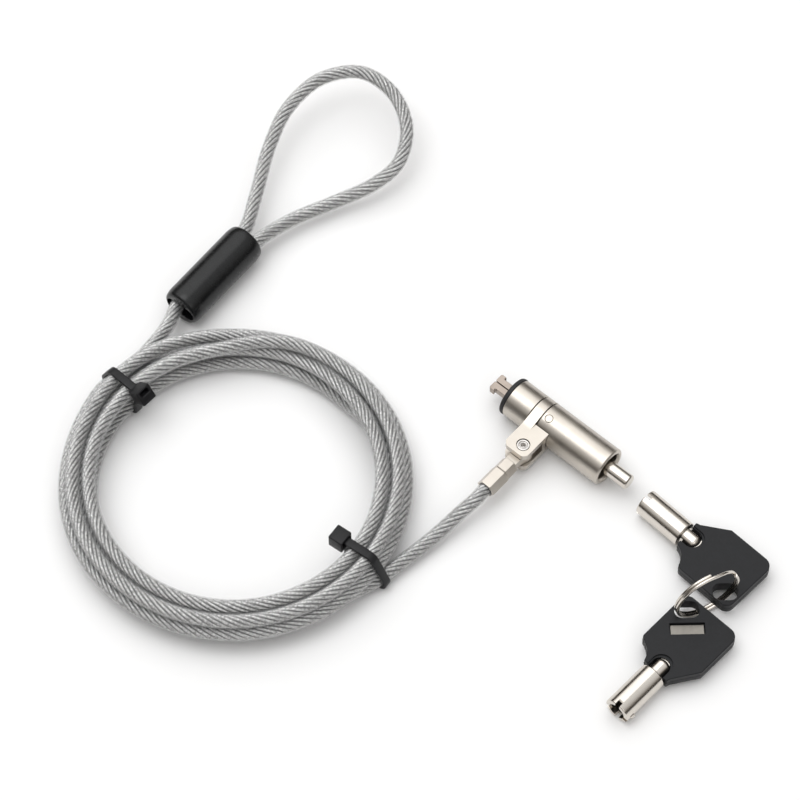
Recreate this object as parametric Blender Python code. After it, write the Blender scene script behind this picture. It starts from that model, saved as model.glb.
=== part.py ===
"""Laptop cable lock: a push-to-lock slot lock on a looped steel cable, with two tubular keys.

Units are metres, +Z is up and the part stands on z = 0. The lock's own axis runs along +X,
from the T-shaped nose hook to the rear button. The cable leaves the lock along -Y, runs into
a tied coil, and ends in a crimped eye loop. Two keys on a split ring lie past the lock's rear.
"""
import math

import bmesh
import bpy
from mathutils import Euler, Matrix, Vector

MM = 0.001
GAP = 0.3 * MM                      # clearance between neighbouring solids
PIN_FIT = 0.1 * MM                  # clearance of a pin in its hole
THROUGH = 6.0 * MM                  # half length of a tool that cuts right through a piece

# --- where things lie ---------------------------------------------------------------------
NOSE = Vector((-44.3, 24.9, 6.5)) * MM          # centre of the front shell's front face
COIL_CENTRE = Vector((-86.0, -49.5, 0.0)) * MM
SLEEVE_CENTRE = Vector((-139.0, -2.0, 6.4)) * MM
SLEEVE_YAW = math.radians(93.0)                 # direction of the sleeve's axis, towards the eye
RING_CENTRE = Vector((38.4, 10.1, 10.4)) * MM
RING_YAW = math.radians(68.0)                   # direction of the standing ring's plane
KEY_1_MOUTH = Vector((4.9, 24.3, 4.1)) * MM
KEY_1_YAW = math.radians(-3.4)
KEY_2_MOUTH = Vector((40.8, -32.0, 4.1)) * MM
KEY_2_YAW = math.radians(87.6)

# --- cable --------------------------------------------------------------------------------
CABLE_DIAMETER = 4.4 * MM
CABLE_RADIUS = CABLE_DIAMETER / 2
CORD_POINT_SPACING = 2.4 * CABLE_DIAMETER
COIL_RADIUS = 45.4 * MM             # to the middle of the bundle
COIL_WIDTH = 11.4 * MM
COIL_HEIGHT = 12.0 * MM
TIE_THICKNESS = 0.9 * MM
TIE_WIDTH = 2.5 * MM
COIL_BOTTOM = TIE_THICKNESS + GAP + 0.1 * MM
TIE_HEAD = Vector((3.8, 5.0, 4.8)) * MM         # outwards, along the strap, across the strap
COIL_CORNER = 4.2 * MM              # rounding of the bundle's cross-section
UPPER_TIE_ANGLE = math.radians(179.0)
LOWER_TIE_ANGLE = math.radians(6.0)

SLEEVE_LENGTH = 31.0 * MM
SLEEVE_RADIUS = 6.2 * MM
SLEEVE_BORE = 5.4 * MM
CRIMP_LENGTH = 17.0 * MM
LEG_OFFSET = 2.5 * MM               # each leg of the eye from the sleeve's axis
TAIL_OFFSET = 1.4 * MM              # the tail from the sleeve's axis

# --- lock head, measured along its axis from the front shell's front face -------------------
BODY_RADIUS = 6.0 * MM
PAD_THICKNESS = 1.4 * MM
FRONT_SHELL_END = 8.0 * MM
BAND_START = 8.3 * MM
BAND_END = 11.4 * MM
REAR_SHELL_START = 11.7 * MM
REAR_SHELL_END = 35.1 * MM
NECK_RADIUS = 4.8 * MM
NECK_END = 15.2 * MM
NOSE_BORE = 3.1 * MM
SPRING_SEAT_START = 12.7 * MM
SPRING_SEAT_BORE = 4.15 * MM
SHELL_BORE = 5.1 * MM
KEYWAY_START = 30.0 * MM
KEYWAY_RADIUS = 4.3 * MM

LUG_START = BAND_START           # flush with the band's front face
LUG_END = 16.4 * MM
LUG_REACH = 15.6 * MM               # from the lock's axis to the lug's outer end
LUG_HALF_HEIGHT = 4.0 * MM
LUG_CHAMFER = 1.2 * MM
LUG_ROOT = 4.6 * MM                 # how near the axis the lug begins, inside the band
SLOT_HALF_HEIGHT = 1.9 * MM
SLOT_INNER = 7.5 * MM
RIVET_ALONG = 13.1 * MM
RIVET_REACH = 12.3 * MM
RIVET_RADIUS = 1.3 * MM
RIVET_HEAD_RADIUS = 1.8 * MM
RIVET_HEAD_DEPTH = 0.8 * MM
RIVET_DIMPLE = 0.7 * MM
DOWEL_ALONG = 13.7 * MM
DOWEL_RADIUS = 1.15 * MM
DOWEL_FOOT = 4.35 * MM
DOWEL_TILT = math.radians(16.0)
DOWEL_SEAM = 0.12 * MM

TANG_HALF_THICKNESS = 1.6 * MM
TANG_RADIUS = 2.8 * MM
TANG_NECK = 2.1 * MM                # half width where the eye meets the hexagon
FERRULE_RADIUS = 3.0 * MM
FERRULE_NEAR_RADIUS = 2.8 * MM      # of the hexagon's nearer, first pressed part
FERRULE_START = 5.5 * MM            # from the rivet to where the hexagon begins
FERRULE_LENGTH = 16.5 * MM          # from the rivet to the cable's entry
FERRULE_STEP = 9.5 * MM             # from the rivet to where the hexagon widens

JAW_PIVOT_ALONG = 11.0 * MM
JAW_PIVOT_OFFSET = 1.45 * MM
JAW_PIN_RADIUS = 0.5 * MM
JAW_PIN_HALF_LENGTH = 4.3 * MM
JAW_HALF_HEIGHT = 1.2 * MM
JAW_REACH = 7.8 * MM                # hook tips ahead of the front shell's face
JAW_TAIL = 12.2 * MM
JAW_HOOK_LENGTH = 1.5 * MM
JAW_HOOK_WIDTH = 2.9 * MM           # widths are from the lock's axis
JAW_SHANK_WIDTH = 2.05 * MM
JAW_TAIL_INNER = 0.6 * MM
JAW_TAIL_OUTER = 2.3 * MM
JAW_SLIT = 0.24 * MM
JAW_THROAT = 1.9 * MM               # the slit widens for the wedge behind this
JAW_SHOULDER = 8.6 * MM
JAW_SHOULDER_SLOPE = 0.7 * MM

BLADE_START = 3.9 * MM
BLADE_HALF_THICKNESS = 0.35 * MM
BLADE_HALF_HEIGHT = 1.0 * MM
BLADE_TIP_LENGTH = 1.4 * MM
BLADE_TIP_HALF = 0.12 * MM
RETURN_SPRING_RADIUS = 3.5 * MM
RETURN_SPRING_WIRE = 0.3 * MM       # radius of the wire
RETURN_SPRING_TURNS = 5.0
CARRIER_START = 20.0 * MM
CARRIER_END = 29.6 * MM
CARRIER_RADIUS = 4.8 * MM
CARRIER_BORE = 4.2 * MM
CARRIER_FLOOR = 1.3 * MM
CORE_RADIUS = 3.9 * MM
CORE_END = 27.2 * MM
POST_RADIUS = 2.35 * MM
POST_END = 42.7 * MM
PIN_COUNT = 4
PIN_CIRCLE = 3.12 * MM
PIN_RADIUS = 0.38 * MM
PIN_START = 24.4 * MM
PIN_END = 28.4 * MM
PIN_HOLE_RADIUS = 0.58 * MM
PIN_HOLE_START = 22.6 * MM
PIN_HOLE_END = 30.0 * MM
PIN_SPRING_RADIUS = 0.3 * MM
PIN_SPRING_WIRE = 0.1 * MM
PIN_SPRING_TURNS = 2.0

# --- keys, measured along each key from its mouth -------------------------------------------
KEY_BARREL_RADIUS = 4.0 * MM
KEY_BARREL_LENGTH = 15.3 * MM
KEY_BORE_RADIUS = 2.65 * MM
KEY_BORE_DEPTH = 11.0 * MM
KEY_STUB_RADIUS = 2.5 * MM
KEY_STUB_END = 20.6 * MM
KEY_TANG_END = 27.0 * MM
KEY_TANG_HALF = Vector((1.5, 1.0)) * MM         # across the key and upwards
POCKET_HALF_WIDTH = 2.8 * MM        # open pocket in the bow's neck that shows the stub
POCKET_END = 20.9 * MM
KEY_NOTCH_ANGLES = (90.0, 195.0, 265.0, 340.0)
KEY_NOTCH_DEPTHS = (1.9, 1.0, 1.5, 0.8)         # millimetres, one for each tumbler pin
KEY_NOTCH_HALF_WIDTH = 0.75 * MM
KEY_NOTCH_INNER = 2.2 * MM
BOW_START = 15.6 * MM
BOW_END = 40.3 * MM
BOW_HALF_WIDTH = 9.8 * MM
BOW_THICKNESS = 4.0 * MM
BOW_BEVEL = 0.45 * MM
PLATE_THICKNESS = 0.5 * MM
PLATE_LIFT = 0.1 * MM               # plate above the window's floor
RING_MEAN_RADIUS = 9.6 * MM
RING_WIRE = 1.2 * MM
RING_STACK = 2.2 * MM
RING_HOLE_CENTRE = Vector((36.2, 6.2)) * MM
RING_HOLE_HALF = Vector((3.6, 2.65)) * MM
RING_HOLE_CORNER = 2.3 * MM
WINDOW_CENTRE = Vector((31.9, 2.2)) * MM
WINDOW_LENGTH = 10.0 * MM
WINDOW_WIDTH = 3.6 * MM
WINDOW_DEPTH = 1.5 * MM
CORNER_DIRECTION = math.radians(-45.0)          # the window and the ring hole cross the corner


# --- scene helpers --------------------------------------------------------------------------
def clear_scene():
    for old in list(bpy.data.objects):
        bpy.data.objects.remove(old, do_unlink=True)


def material(name, colour, roughness, metallic):
    made = bpy.data.materials.new(name)
    made.use_nodes = True
    shader = made.node_tree.nodes["Principled BSDF"]
    shader.inputs["Base Color"].default_value = (*colour, 1.0)
    shader.inputs["Roughness"].default_value = roughness
    shader.inputs["Metallic"].default_value = metallic
    return made


def pivot(name, location, yaw=0.0, parent=None):
    """An empty that carries the pieces of one moving body."""
    empty = bpy.data.objects.new(name, None)
    empty.location = location
    empty.rotation_euler = (0.0, 0.0, yaw)
    empty.parent = parent
    bpy.context.collection.objects.link(empty)
    return empty


def add_object(name, bm, finish, parent=None, location=(0, 0, 0), rotation=(0, 0, 0)):
    bmesh.ops.remove_doubles(bm, verts=bm.verts, dist=0.001 * MM)
    bmesh.ops.recalc_face_normals(bm, faces=bm.faces)
    mesh = bpy.data.meshes.new(name)
    bm.to_mesh(mesh)
    bm.free()
    mesh.shade_smooth()
    mesh.set_sharp_from_angle(angle=math.radians(35))
    mesh.materials.append(finish)
    made = bpy.data.objects.new(name, mesh)
    made.parent = parent
    made.location = location
    made.rotation_euler = rotation
    bpy.context.collection.objects.link(made)
    return made


def bridge(bm, ring_a, ring_b):
    """Join two rings of vertices, either of which may be a single point on the axis."""
    count = max(len(ring_a), len(ring_b))
    for i in range(count):
        j = (i + 1) % count
        corners = [ring_a[i % len(ring_a)], ring_a[j % len(ring_a)]]
        corners += [ring_b[j % len(ring_b)], ring_b[i % len(ring_b)]]
        unique = list(dict.fromkeys(corners))
        if len(unique) > 2:
            bm.faces.new(unique)


def turned_mesh(profile, segments, closed):
    """Turn (along, radius) points about the local X axis."""
    bm = bmesh.new()
    rings = []
    for along, radius in profile:
        if radius == 0.0:
            rings.append([bm.verts.new((along, 0.0, 0.0))])
            continue
        angles = [math.tau * i / segments for i in range(segments)]
        rings.append([bm.verts.new((along, radius * math.cos(a), radius * math.sin(a)))
                      for a in angles])
    following = rings[1:] + rings[:1] if closed else rings[1:]
    for ring_a, ring_b in zip(rings, following):
        bridge(bm, ring_a, ring_b)
    return bm


def turned(name, profile, finish, parent, segments=32, closed=True, **place):
    return add_object(name, turned_mesh(profile, segments, closed), finish, parent, **place)


def rod(name, start, end, radius, finish, parent, segments=20, **place):
    profile = [(start, 0.0), (start, radius), (end, radius), (end, 0.0)]
    return turned(name, profile, finish, parent, segments, closed=False, **place)


def prism_mesh(outline, low, high):
    """Raise an outline of (x, y) points from low to high along local Z."""
    bm = bmesh.new()
    bottom = [bm.verts.new((x, y, low)) for x, y in outline]
    top = [bm.verts.new((x, y, high)) for x, y in outline]
    bridge(bm, bottom, top)
    bm.faces.new(bottom)
    bm.faces.new(top)
    return bm


def prism(name, outline, low, high, finish, parent=None, **place):
    return add_object(name, prism_mesh(outline, low, high), finish, parent, **place)


def box(name, low, high, finish, parent=None, **place):
    outline = [(low[0], low[1]), (high[0], low[1]), (high[0], high[1]), (low[0], high[1])]
    return prism(name, outline, low[2], high[2], finish, parent, **place)


def combine(target, tool, operation):
    """Cut a tool out of a piece, or join it on, and keep the tool as a hidden guide."""
    tool.hide_render = True
    tool.display_type = "WIRE"
    step = target.modifiers.new(tool.name, "BOOLEAN")
    step.operation = operation
    step.object = tool
    step.solver = "EXACT"


def cut(target, tool):
    combine(target, tool, "DIFFERENCE")


def join(target, tool):
    combine(target, tool, "UNION")


def arc(centre, radius, start, end, steps):
    """Points of an arc in a plane, from one angle in degrees to another."""
    angles = [math.radians(start + (end - start) * i / steps) for i in range(steps + 1)]
    return [(centre[0] + radius * math.cos(a), centre[1] + radius * math.sin(a)) for a in angles]


def rounded_box(half_width, half_height, corner, steps=3):
    """Outline of a rectangle with round corners, centred on the origin."""
    points = []
    corners = ((1, 1, 0), (-1, 1, 90), (-1, -1, 180), (1, -1, 270))
    for side_x, side_y, start in corners:
        centre = (side_x * (half_width - corner), side_y * (half_height - corner))
        points += arc(centre, corner, start, start + 90, steps)
    return points


# --- cable ------------------------------------------------------------------------------------
def smooth_route(points, spacing):
    """Evenly spaced points on a Catmull-Rom curve through the route's own points."""
    ends = [points[0] * 2 - points[1]] + points + [points[-1] * 2 - points[-2]]
    fine = []
    for a, b, c, d in zip(ends, ends[1:], ends[2:], ends[3:]):
        for step in range(20):
            t = step / 20
            fine.append(0.5 * (2 * b + (c - a) * t + (2 * a - 5 * b + 4 * c - d) * t ** 2
                               + (3 * b - a - 3 * c + d) * t ** 3))
    fine.append(points[-1])
    lengths = [0.0]
    for a, b in zip(fine, fine[1:]):
        lengths.append(lengths[-1] + (b - a).length)
    count = max(2, round(lengths[-1] / spacing))
    route, k = [], 0
    for i in range(count + 1):
        target = lengths[-1] * i / count
        while k < len(fine) - 2 and lengths[k + 1] < target:
            k += 1
        part = (target - lengths[k]) / (lengths[k + 1] - lengths[k])
        route.append(fine[k].lerp(fine[k + 1], part))
    return route


def cord(name, points, finish):
    """A plain round cord along a smooth route, with closed ends."""
    curve = bpy.data.curves.new(name, "CURVE")
    curve.dimensions = "3D"
    curve.bevel_depth = CABLE_RADIUS
    curve.bevel_resolution = 3
    curve.render_resolution_u = 0
    curve.use_fill_caps = True
    route = smooth_route(points, CORD_POINT_SPACING)
    spline = curve.splines.new("POLY")
    spline.points.add(len(route) - 1)
    for knot, place in zip(spline.points, route):
        knot.co = (*place, 1.0)
    curve.materials.append(finish)
    made = bpy.data.objects.new(name, curve)
    bpy.context.collection.objects.link(made)
    return made


def millimetres(*points):
    return [Vector(p) * MM for p in points]


def make_cable(finish):
    rivet = NOSE + Vector((RIVET_ALONG, -RIVET_REACH, 0.0))
    entry = rivet - Vector((0.0, FERRULE_LENGTH + GAP, 0.0))
    lead = [entry, entry - Vector((0.0, 5.0, 0.0)) * MM]
    lead += millimetres((-32.0, -14.0, 5.3), (-32.8, -22.0, 4.0), (-33.6, -28.5, 3.5),
                        (-34.4, -33.0, 3.4))
    cord("cable_lead", lead, finish)

    axis = Vector((math.cos(SLEEVE_YAW), math.sin(SLEEVE_YAW), 0.0))
    side = Vector((axis.y, -axis.x, 0.0))
    crimp_face = CRIMP_LENGTH / 2 + GAP
    low_end = SLEEVE_CENTRE - axis * crimp_face
    tail_side = side * TAIL_OFFSET
    tail = [low_end - tail_side, SLEEVE_CENTRE - axis * (SLEEVE_LENGTH / 2 + 1.0 * MM) - tail_side]
    tail += millimetres((-137.5, -22.9, 6.3), (-136.5, -26.6, 6.3), (-136.0, -29.3, 6.4))
    cord("cable_tail", tail, finish)

    high_end = SLEEVE_CENTRE + axis * crimp_face
    mouth = SLEEVE_CENTRE + axis * (SLEEVE_LENGTH / 2 + 1.0 * MM)
    eye = [high_end - side * LEG_OFFSET, mouth - side * LEG_OFFSET]
    eye += millimetres((-148.2, 26.5, 7.4), (-156.0, 41.0, 9.5), (-160.4, 54.5, 11.8),
                       (-159.4, 68.0, 13.4), (-151.7, 77.8, 13.8), (-140.2, 79.0, 13.0),
                       (-129.0, 73.2, 11.0), (-123.4, 63.0, 8.4), (-125.0, 53.0, 6.2),
                       (-130.4, 41.0, 4.7), (-135.4, 28.0, 5.0))
    eye += [mouth + side * LEG_OFFSET, high_end + side * LEG_OFFSET]
    cord("cable_eye", eye, finish)


def coil_section(offset, steps):
    """Outline of the bundle's cross-section as (radial, height) points, grown by offset."""
    half_width = COIL_WIDTH / 2 + offset
    half_height = COIL_HEIGHT / 2 + offset
    return rounded_box(half_width, half_height, COIL_CORNER + offset, steps)


def make_coil(finish):
    middle = COIL_BOTTOM + COIL_HEIGHT / 2
    profile = [(middle + height, COIL_RADIUS + radial) for radial, height in coil_section(0.0, 2)]
    turned("cable_coil", profile, finish, None, segments=56,
           location=COIL_CENTRE, rotation=(0.0, -math.pi / 2, 0.0))


def make_tie(name, angle, head_angle, finish):
    """A strap round the bundle, with its square head on the coil's inner upper corner."""
    middle = COIL_BOTTOM + COIL_HEIGHT / 2
    place = COIL_CENTRE + Vector((math.cos(angle), math.sin(angle), 0.0)) * COIL_RADIUS
    place.z = middle
    turn = (math.pi / 2, 0.0, angle)
    outer = coil_section(GAP + TIE_THICKNESS, 3)
    inner = coil_section(GAP, 3)
    bm = bmesh.new()
    loops = [[bm.verts.new((x, y, side * TIE_WIDTH / 2)) for x, y in outline]
             for outline, side in ((outer, -1), (outer, 1), (inner, 1), (inner, -1))]
    for loop, following in zip(loops, loops[1:] + loops[:1]):
        bridge(bm, loop, following)
    strap = add_object(name, bm, finish, None, location=place, rotation=turn)
    inner_face = COIL_CORNER + GAP + 0.1 * MM
    low = Vector((inner_face, -TIE_HEAD.y / 2, -TIE_HEAD.z / 2))
    high = Vector((inner_face + TIE_HEAD.x, TIE_HEAD.y / 2, TIE_HEAD.z / 2))
    head = box(name + "_head", low, high, finish)
    corner = Vector((COIL_CORNER - COIL_WIDTH / 2, COIL_HEIGHT / 2 - COIL_CORNER, 0.0))
    head.matrix_world = (Matrix.Translation(place) @ Euler(turn).to_matrix().to_4x4()
                         @ Matrix.Translation(corner) @ Matrix.Rotation(head_angle, 4, "Z"))
    join(strap, head)


def make_sleeve(sleeve_finish, crimp_finish):
    carrier = pivot("sleeve_axis", SLEEVE_CENTRE, SLEEVE_YAW)
    half = SLEEVE_LENGTH / 2
    profile = [(-half, SLEEVE_BORE), (-half, SLEEVE_RADIUS - 0.7 * MM)]
    profile += [(-half + 0.9 * MM, SLEEVE_RADIUS), (half - 0.9 * MM, SLEEVE_RADIUS)]
    profile += [(half, SLEEVE_RADIUS - 0.7 * MM), (half, SLEEVE_BORE)]
    turned("loop_sleeve", profile, sleeve_finish, carrier, segments=28)
    outline = rounded_box(4.7 * MM, 2.7 * MM, 2.6 * MM, 4)
    prism("loop_crimp", outline, -CRIMP_LENGTH / 2, CRIMP_LENGTH / 2, crimp_finish, carrier,
          rotation=(math.pi / 2, 0.0, math.pi / 2))


def make_ferrule(finish):
    """Crimped end fitting: a flat eye for the rivet, then a hexagon with one slight step."""
    rivet = NOSE + Vector((RIVET_ALONG, -RIVET_REACH, 0.0))
    carrier = pivot("ferrule_axis", rivet, -math.pi / 2)
    outline = arc((0.0, 0.0), TANG_RADIUS, 75, 285, 12)
    reach = FERRULE_START + 0.5 * MM
    outline += [(reach, -TANG_NECK), (reach, TANG_NECK)]
    eye = prism("end_ferrule", outline, -TANG_HALF_THICKNESS, TANG_HALF_THICKNESS, finish, carrier)
    profile = [(FERRULE_START, 0.0), (FERRULE_START, FERRULE_NEAR_RADIUS)]
    profile += [(FERRULE_STEP, FERRULE_NEAR_RADIUS), (FERRULE_STEP + 0.4 * MM, FERRULE_RADIUS)]
    profile += [(FERRULE_LENGTH, FERRULE_RADIUS), (FERRULE_LENGTH, 0.0)]
    body = turned("ferrule_hexagon", profile, finish, carrier, segments=6, closed=False)
    join(eye, body)
    hole = rod("ferrule_eye_hole", -THROUGH, THROUGH, RIVET_RADIUS + 2 * PIN_FIT, finish, carrier,
               rotation=(0.0, math.pi / 2, 0.0))
    cut(eye, hole)


# --- lock head ----------------------------------------------------------------------------------
def make_collar(collar_finish, rivet_finish):
    """Band that swivels on the neck, with the slotted lug that holds the ferrule."""
    carrier = pivot("lug_pivot", NOSE + Vector((RIVET_ALONG, -RIVET_REACH, 0.0)))
    shift = Vector((-RIVET_ALONG, RIVET_REACH, 0.0))
    inner = NECK_RADIUS + GAP
    band = turned("swivel_collar", [(BAND_START, inner), (BAND_START, BODY_RADIUS),
                                    (BAND_END, BODY_RADIUS), (BAND_END, inner)],
                  collar_finish, carrier, segments=36, location=shift)
    outline = [(LUG_START, -LUG_ROOT), (LUG_START, -LUG_REACH + LUG_CHAMFER),
               (LUG_START + LUG_CHAMFER, -LUG_REACH), (LUG_END - LUG_CHAMFER, -LUG_REACH),
               (LUG_END, -LUG_REACH + LUG_CHAMFER), (LUG_END, -LUG_ROOT)]
    lug = prism("collar_lug", outline, -LUG_HALF_HEIGHT, LUG_HALF_HEIGHT, collar_finish,
                carrier, location=shift)
    relief = rod("lug_relief", BAND_END, LUG_END + THROUGH, BODY_RADIUS + GAP,
                 collar_finish, carrier, segments=36, location=shift)
    cut(lug, relief)
    bore = rod("collar_bore", 0.0, REAR_SHELL_END, inner, collar_finish, carrier,
               segments=36, location=shift)
    join(band, lug)
    cut(band, bore)
    slot = box("lug_slot", (LUG_START - THROUGH, -LUG_REACH - THROUGH, -SLOT_HALF_HEIGHT),
               (LUG_END + THROUGH, -SLOT_INNER, SLOT_HALF_HEIGHT), collar_finish, carrier, location=shift)
    cut(band, slot)
    upright = (0.0, -math.pi / 2, 0.0)
    hole = rod("lug_rivet_hole", -THROUGH, THROUGH, RIVET_RADIUS + GAP, collar_finish, carrier,
               rotation=upright)
    cut(band, hole)
    seat_floor = LUG_HALF_HEIGHT - RIVET_HEAD_DEPTH - GAP
    seat = rod("rivet_seat", seat_floor, THROUGH, RIVET_HEAD_RADIUS + GAP, collar_finish, carrier,
               rotation=upright)
    cut(band, seat)
    head_low = LUG_HALF_HEIGHT - RIVET_HEAD_DEPTH
    head_top = LUG_HALF_HEIGHT - PIN_FIT
    dimple = RIVET_DIMPLE
    profile = [(-LUG_HALF_HEIGHT, 0.0), (-LUG_HALF_HEIGHT, RIVET_RADIUS), (head_low, RIVET_RADIUS)]
    profile += [(head_low, RIVET_HEAD_RADIUS), (head_top, RIVET_HEAD_RADIUS), (head_top, dimple)]
    profile += [(head_top - dimple, dimple), (head_top - dimple, 0.0)]
    turned("clevis_rivet", profile, rivet_finish, carrier, segments=20, closed=False,
           rotation=upright)


def make_shells(head, shell_finish, pad_finish, pin_finish):
    bevel = 0.25 * MM
    profile = [(0.0, NOSE_BORE), (0.0, BODY_RADIUS - bevel), (bevel, BODY_RADIUS),
               (FRONT_SHELL_END, BODY_RADIUS), (FRONT_SHELL_END, NECK_RADIUS),
               (NECK_END, NECK_RADIUS), (NECK_END, SPRING_SEAT_BORE),
               (SPRING_SEAT_START, SPRING_SEAT_BORE), (SPRING_SEAT_START, NOSE_BORE)]
    front = turned("front_shell", profile, shell_finish, head, segments=36)

    socket = NECK_END + GAP
    lip = 0.6 * MM
    profile = [(REAR_SHELL_START, NECK_RADIUS + GAP), (REAR_SHELL_START, BODY_RADIUS),
               (REAR_SHELL_END - bevel, BODY_RADIUS), (REAR_SHELL_END, BODY_RADIUS - bevel),
               (REAR_SHELL_END, KEYWAY_RADIUS + lip), (REAR_SHELL_END - lip, KEYWAY_RADIUS),
               (KEYWAY_START, KEYWAY_RADIUS), (KEYWAY_START, SHELL_BORE), (socket, SHELL_BORE)]
    rear = turned("rear_shell", profile, shell_finish, head, segments=36)

    inner, outer, slope, back = NOSE_BORE + PIN_FIT, BODY_RADIUS + 0.1 * MM, 0.4 * MM, -0.05 * MM
    profile = [(-PAD_THICKNESS, inner), (-PAD_THICKNESS, outer - slope),
               (-PAD_THICKNESS + slope, outer), (back, outer), (back, inner)]
    turned("nose_pad", profile, pad_finish, head, segments=36)

    face = pivot("dowel_axis", (DOWEL_ALONG, 0.0, 0.0), parent=head)
    face.rotation_euler = (DOWEL_TILT, 0.0, 0.0)
    upright = (0.0, -math.pi / 2, 0.0)
    rod("shell_dowel", DOWEL_FOOT, BODY_RADIUS, DOWEL_RADIUS, pin_finish, face, rotation=upright)
    for shell in (front, rear):
        hole = rod(shell.name + "_dowel_hole", DOWEL_FOOT - GAP, BODY_RADIUS + THROUGH,
                   DOWEL_RADIUS + DOWEL_SEAM, shell_finish, face, rotation=upright)
        cut(shell, hole)
    for name, side in (("left", 1), ("right", -1)):
        place = (JAW_PIVOT_ALONG, side * JAW_PIVOT_OFFSET, 0.0)
        rod("jaw_pin_" + name, -JAW_PIN_HALF_LENGTH, JAW_PIN_HALF_LENGTH, JAW_PIN_RADIUS, pin_finish, head,
            segments=14, location=place, rotation=upright)
        hole = rod("jaw_pin_hole_" + name, -THROUGH, THROUGH, JAW_PIN_RADIUS + PIN_FIT,
                   pin_finish, head, segments=14, location=place, rotation=upright)
        cut(front, hole)


def make_jaws(head, finish):
    """Two hooked bars side by side; a wedge pushed between them spreads their tips."""
    inner, tip = JAW_SLIT / 2, JAW_REACH - JAW_HOOK_LENGTH
    outline = [(JAW_TAIL, JAW_TAIL_INNER), (JAW_THROAT, JAW_TAIL_INNER),
               (JAW_THROAT - JAW_TAIL_INNER, inner), (-JAW_REACH, inner),
               (-JAW_REACH, JAW_HOOK_WIDTH), (-tip, JAW_HOOK_WIDTH), (-tip, JAW_SHANK_WIDTH),
               (JAW_SHOULDER, JAW_SHANK_WIDTH), (JAW_SHOULDER + JAW_SHOULDER_SLOPE, JAW_TAIL_OUTER),
               (JAW_TAIL, JAW_TAIL_OUTER)]
    for name, side in (("left", 1), ("right", -1)):
        place = Vector((JAW_PIVOT_ALONG, side * JAW_PIVOT_OFFSET, 0.0))
        moved = [(x - place.x, side * y - place.y) for x, y in outline]
        jaw = prism("jaw_" + name, moved, -JAW_HALF_HEIGHT, JAW_HALF_HEIGHT, finish, head,
                    location=place)
        hole = rod("jaw_bore_" + name, -THROUGH, THROUGH, JAW_PIN_RADIUS + PIN_FIT, finish, head,
                   segments=14, location=place, rotation=(0.0, -math.pi / 2, 0.0))
        cut(jaw, hole)


def make_plunger(head, carrier_finish, core_finish, pin_finish):
    """Sliding carrier with its wedge, and the turning core with its centre post and pins."""
    back = CARRIER_START + CARRIER_FLOOR
    profile = [(CARRIER_START, 0.0), (CARRIER_START, CARRIER_RADIUS),
               (CARRIER_END, CARRIER_RADIUS), (CARRIER_END, CARRIER_BORE),
               (back, CARRIER_BORE), (back, 0.0)]
    turned("plunger_carrier", profile, carrier_finish, head, segments=32, closed=False)
    tip = BLADE_TIP_LENGTH
    outline = [(BLADE_START, -BLADE_TIP_HALF), (BLADE_START + tip, -BLADE_HALF_THICKNESS),
               (CARRIER_START - GAP, -BLADE_HALF_THICKNESS),
               (CARRIER_START - GAP, BLADE_HALF_THICKNESS),
               (BLADE_START + tip, BLADE_HALF_THICKNESS), (BLADE_START, BLADE_TIP_HALF)]
    prism("spreader_blade", outline, -BLADE_HALF_HEIGHT, BLADE_HALF_HEIGHT, carrier_finish, head)

    bevel = 0.35 * MM
    profile = [(back + GAP, 0.0), (back + GAP, CORE_RADIUS), (CORE_END, CORE_RADIUS),
               (CORE_END, POST_RADIUS), (POST_END - bevel, POST_RADIUS),
               (POST_END, POST_RADIUS - bevel), (POST_END, 0.0)]
    core = turned("lock_core", profile, core_finish, head, segments=32, closed=False)
    for i in range(PIN_COUNT):
        angle = math.radians(KEY_NOTCH_ANGLES[i])
        place = (0.0, PIN_CIRCLE * math.cos(angle), PIN_CIRCLE * math.sin(angle))
        hole = rod(f"pin_hole_{i + 1}", PIN_HOLE_START, PIN_HOLE_END, PIN_HOLE_RADIUS, core_finish,
                   head, segments=10, location=place)
        cut(core, hole)
        rod(f"tumbler_pin_{i + 1}", PIN_START, PIN_END, PIN_RADIUS, pin_finish, head,
            segments=10, location=place)
        coil_spring(f"pin_spring_{i + 1}", PIN_HOLE_START + PIN_FIT, PIN_START - PIN_FIT,
                    PIN_SPRING_RADIUS, PIN_SPRING_WIRE, PIN_SPRING_TURNS, pin_finish, head, place)


def coil_spring(name, start, end, radius, wire, turns, finish, parent, location=(0, 0, 0)):
    """A round wire wound about the local X axis, its wire's outside held within start and end."""
    sides, steps = 5, max(10, round(turns * 10))
    low, high = start + wire, end - wire
    bm = bmesh.new()
    rings = []
    for i in range(steps + 1):
        angle = math.tau * turns * i / steps
        out = Vector((0.0, math.cos(angle), math.sin(angle)))
        centre = out * radius + Vector((low + (high - low) * i / steps, 0.0, 0.0))
        around = [math.tau * k / sides for k in range(sides)]
        rings.append([bm.verts.new(centre + (out * math.cos(a) + Vector((1, 0, 0)) * math.sin(a))
                                   * wire) for a in around])
    for ring_a, ring_b in zip(rings, rings[1:]):
        bridge(bm, ring_a, ring_b)
    bm.faces.new(rings[0])
    bm.faces.new(rings[-1])
    return add_object(name, bm, finish, parent, location=location)


def make_lock(finishes):
    head = pivot("lock_axis", NOSE)
    make_collar(finishes["nickel"], finishes["pin"])
    make_shells(head, finishes["nickel"], finishes["rubber"], finishes["pin"])
    make_jaws(head, finishes["hook"])
    make_plunger(head, finishes["hook"], finishes["nickel"], finishes["pin"])
    coil_spring("return_spring", SPRING_SEAT_START + 2 * PIN_FIT, CARRIER_START - 2 * PIN_FIT,
                RETURN_SPRING_RADIUS, RETURN_SPRING_WIRE, RETURN_SPRING_TURNS, finishes["pin"], head)


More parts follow.
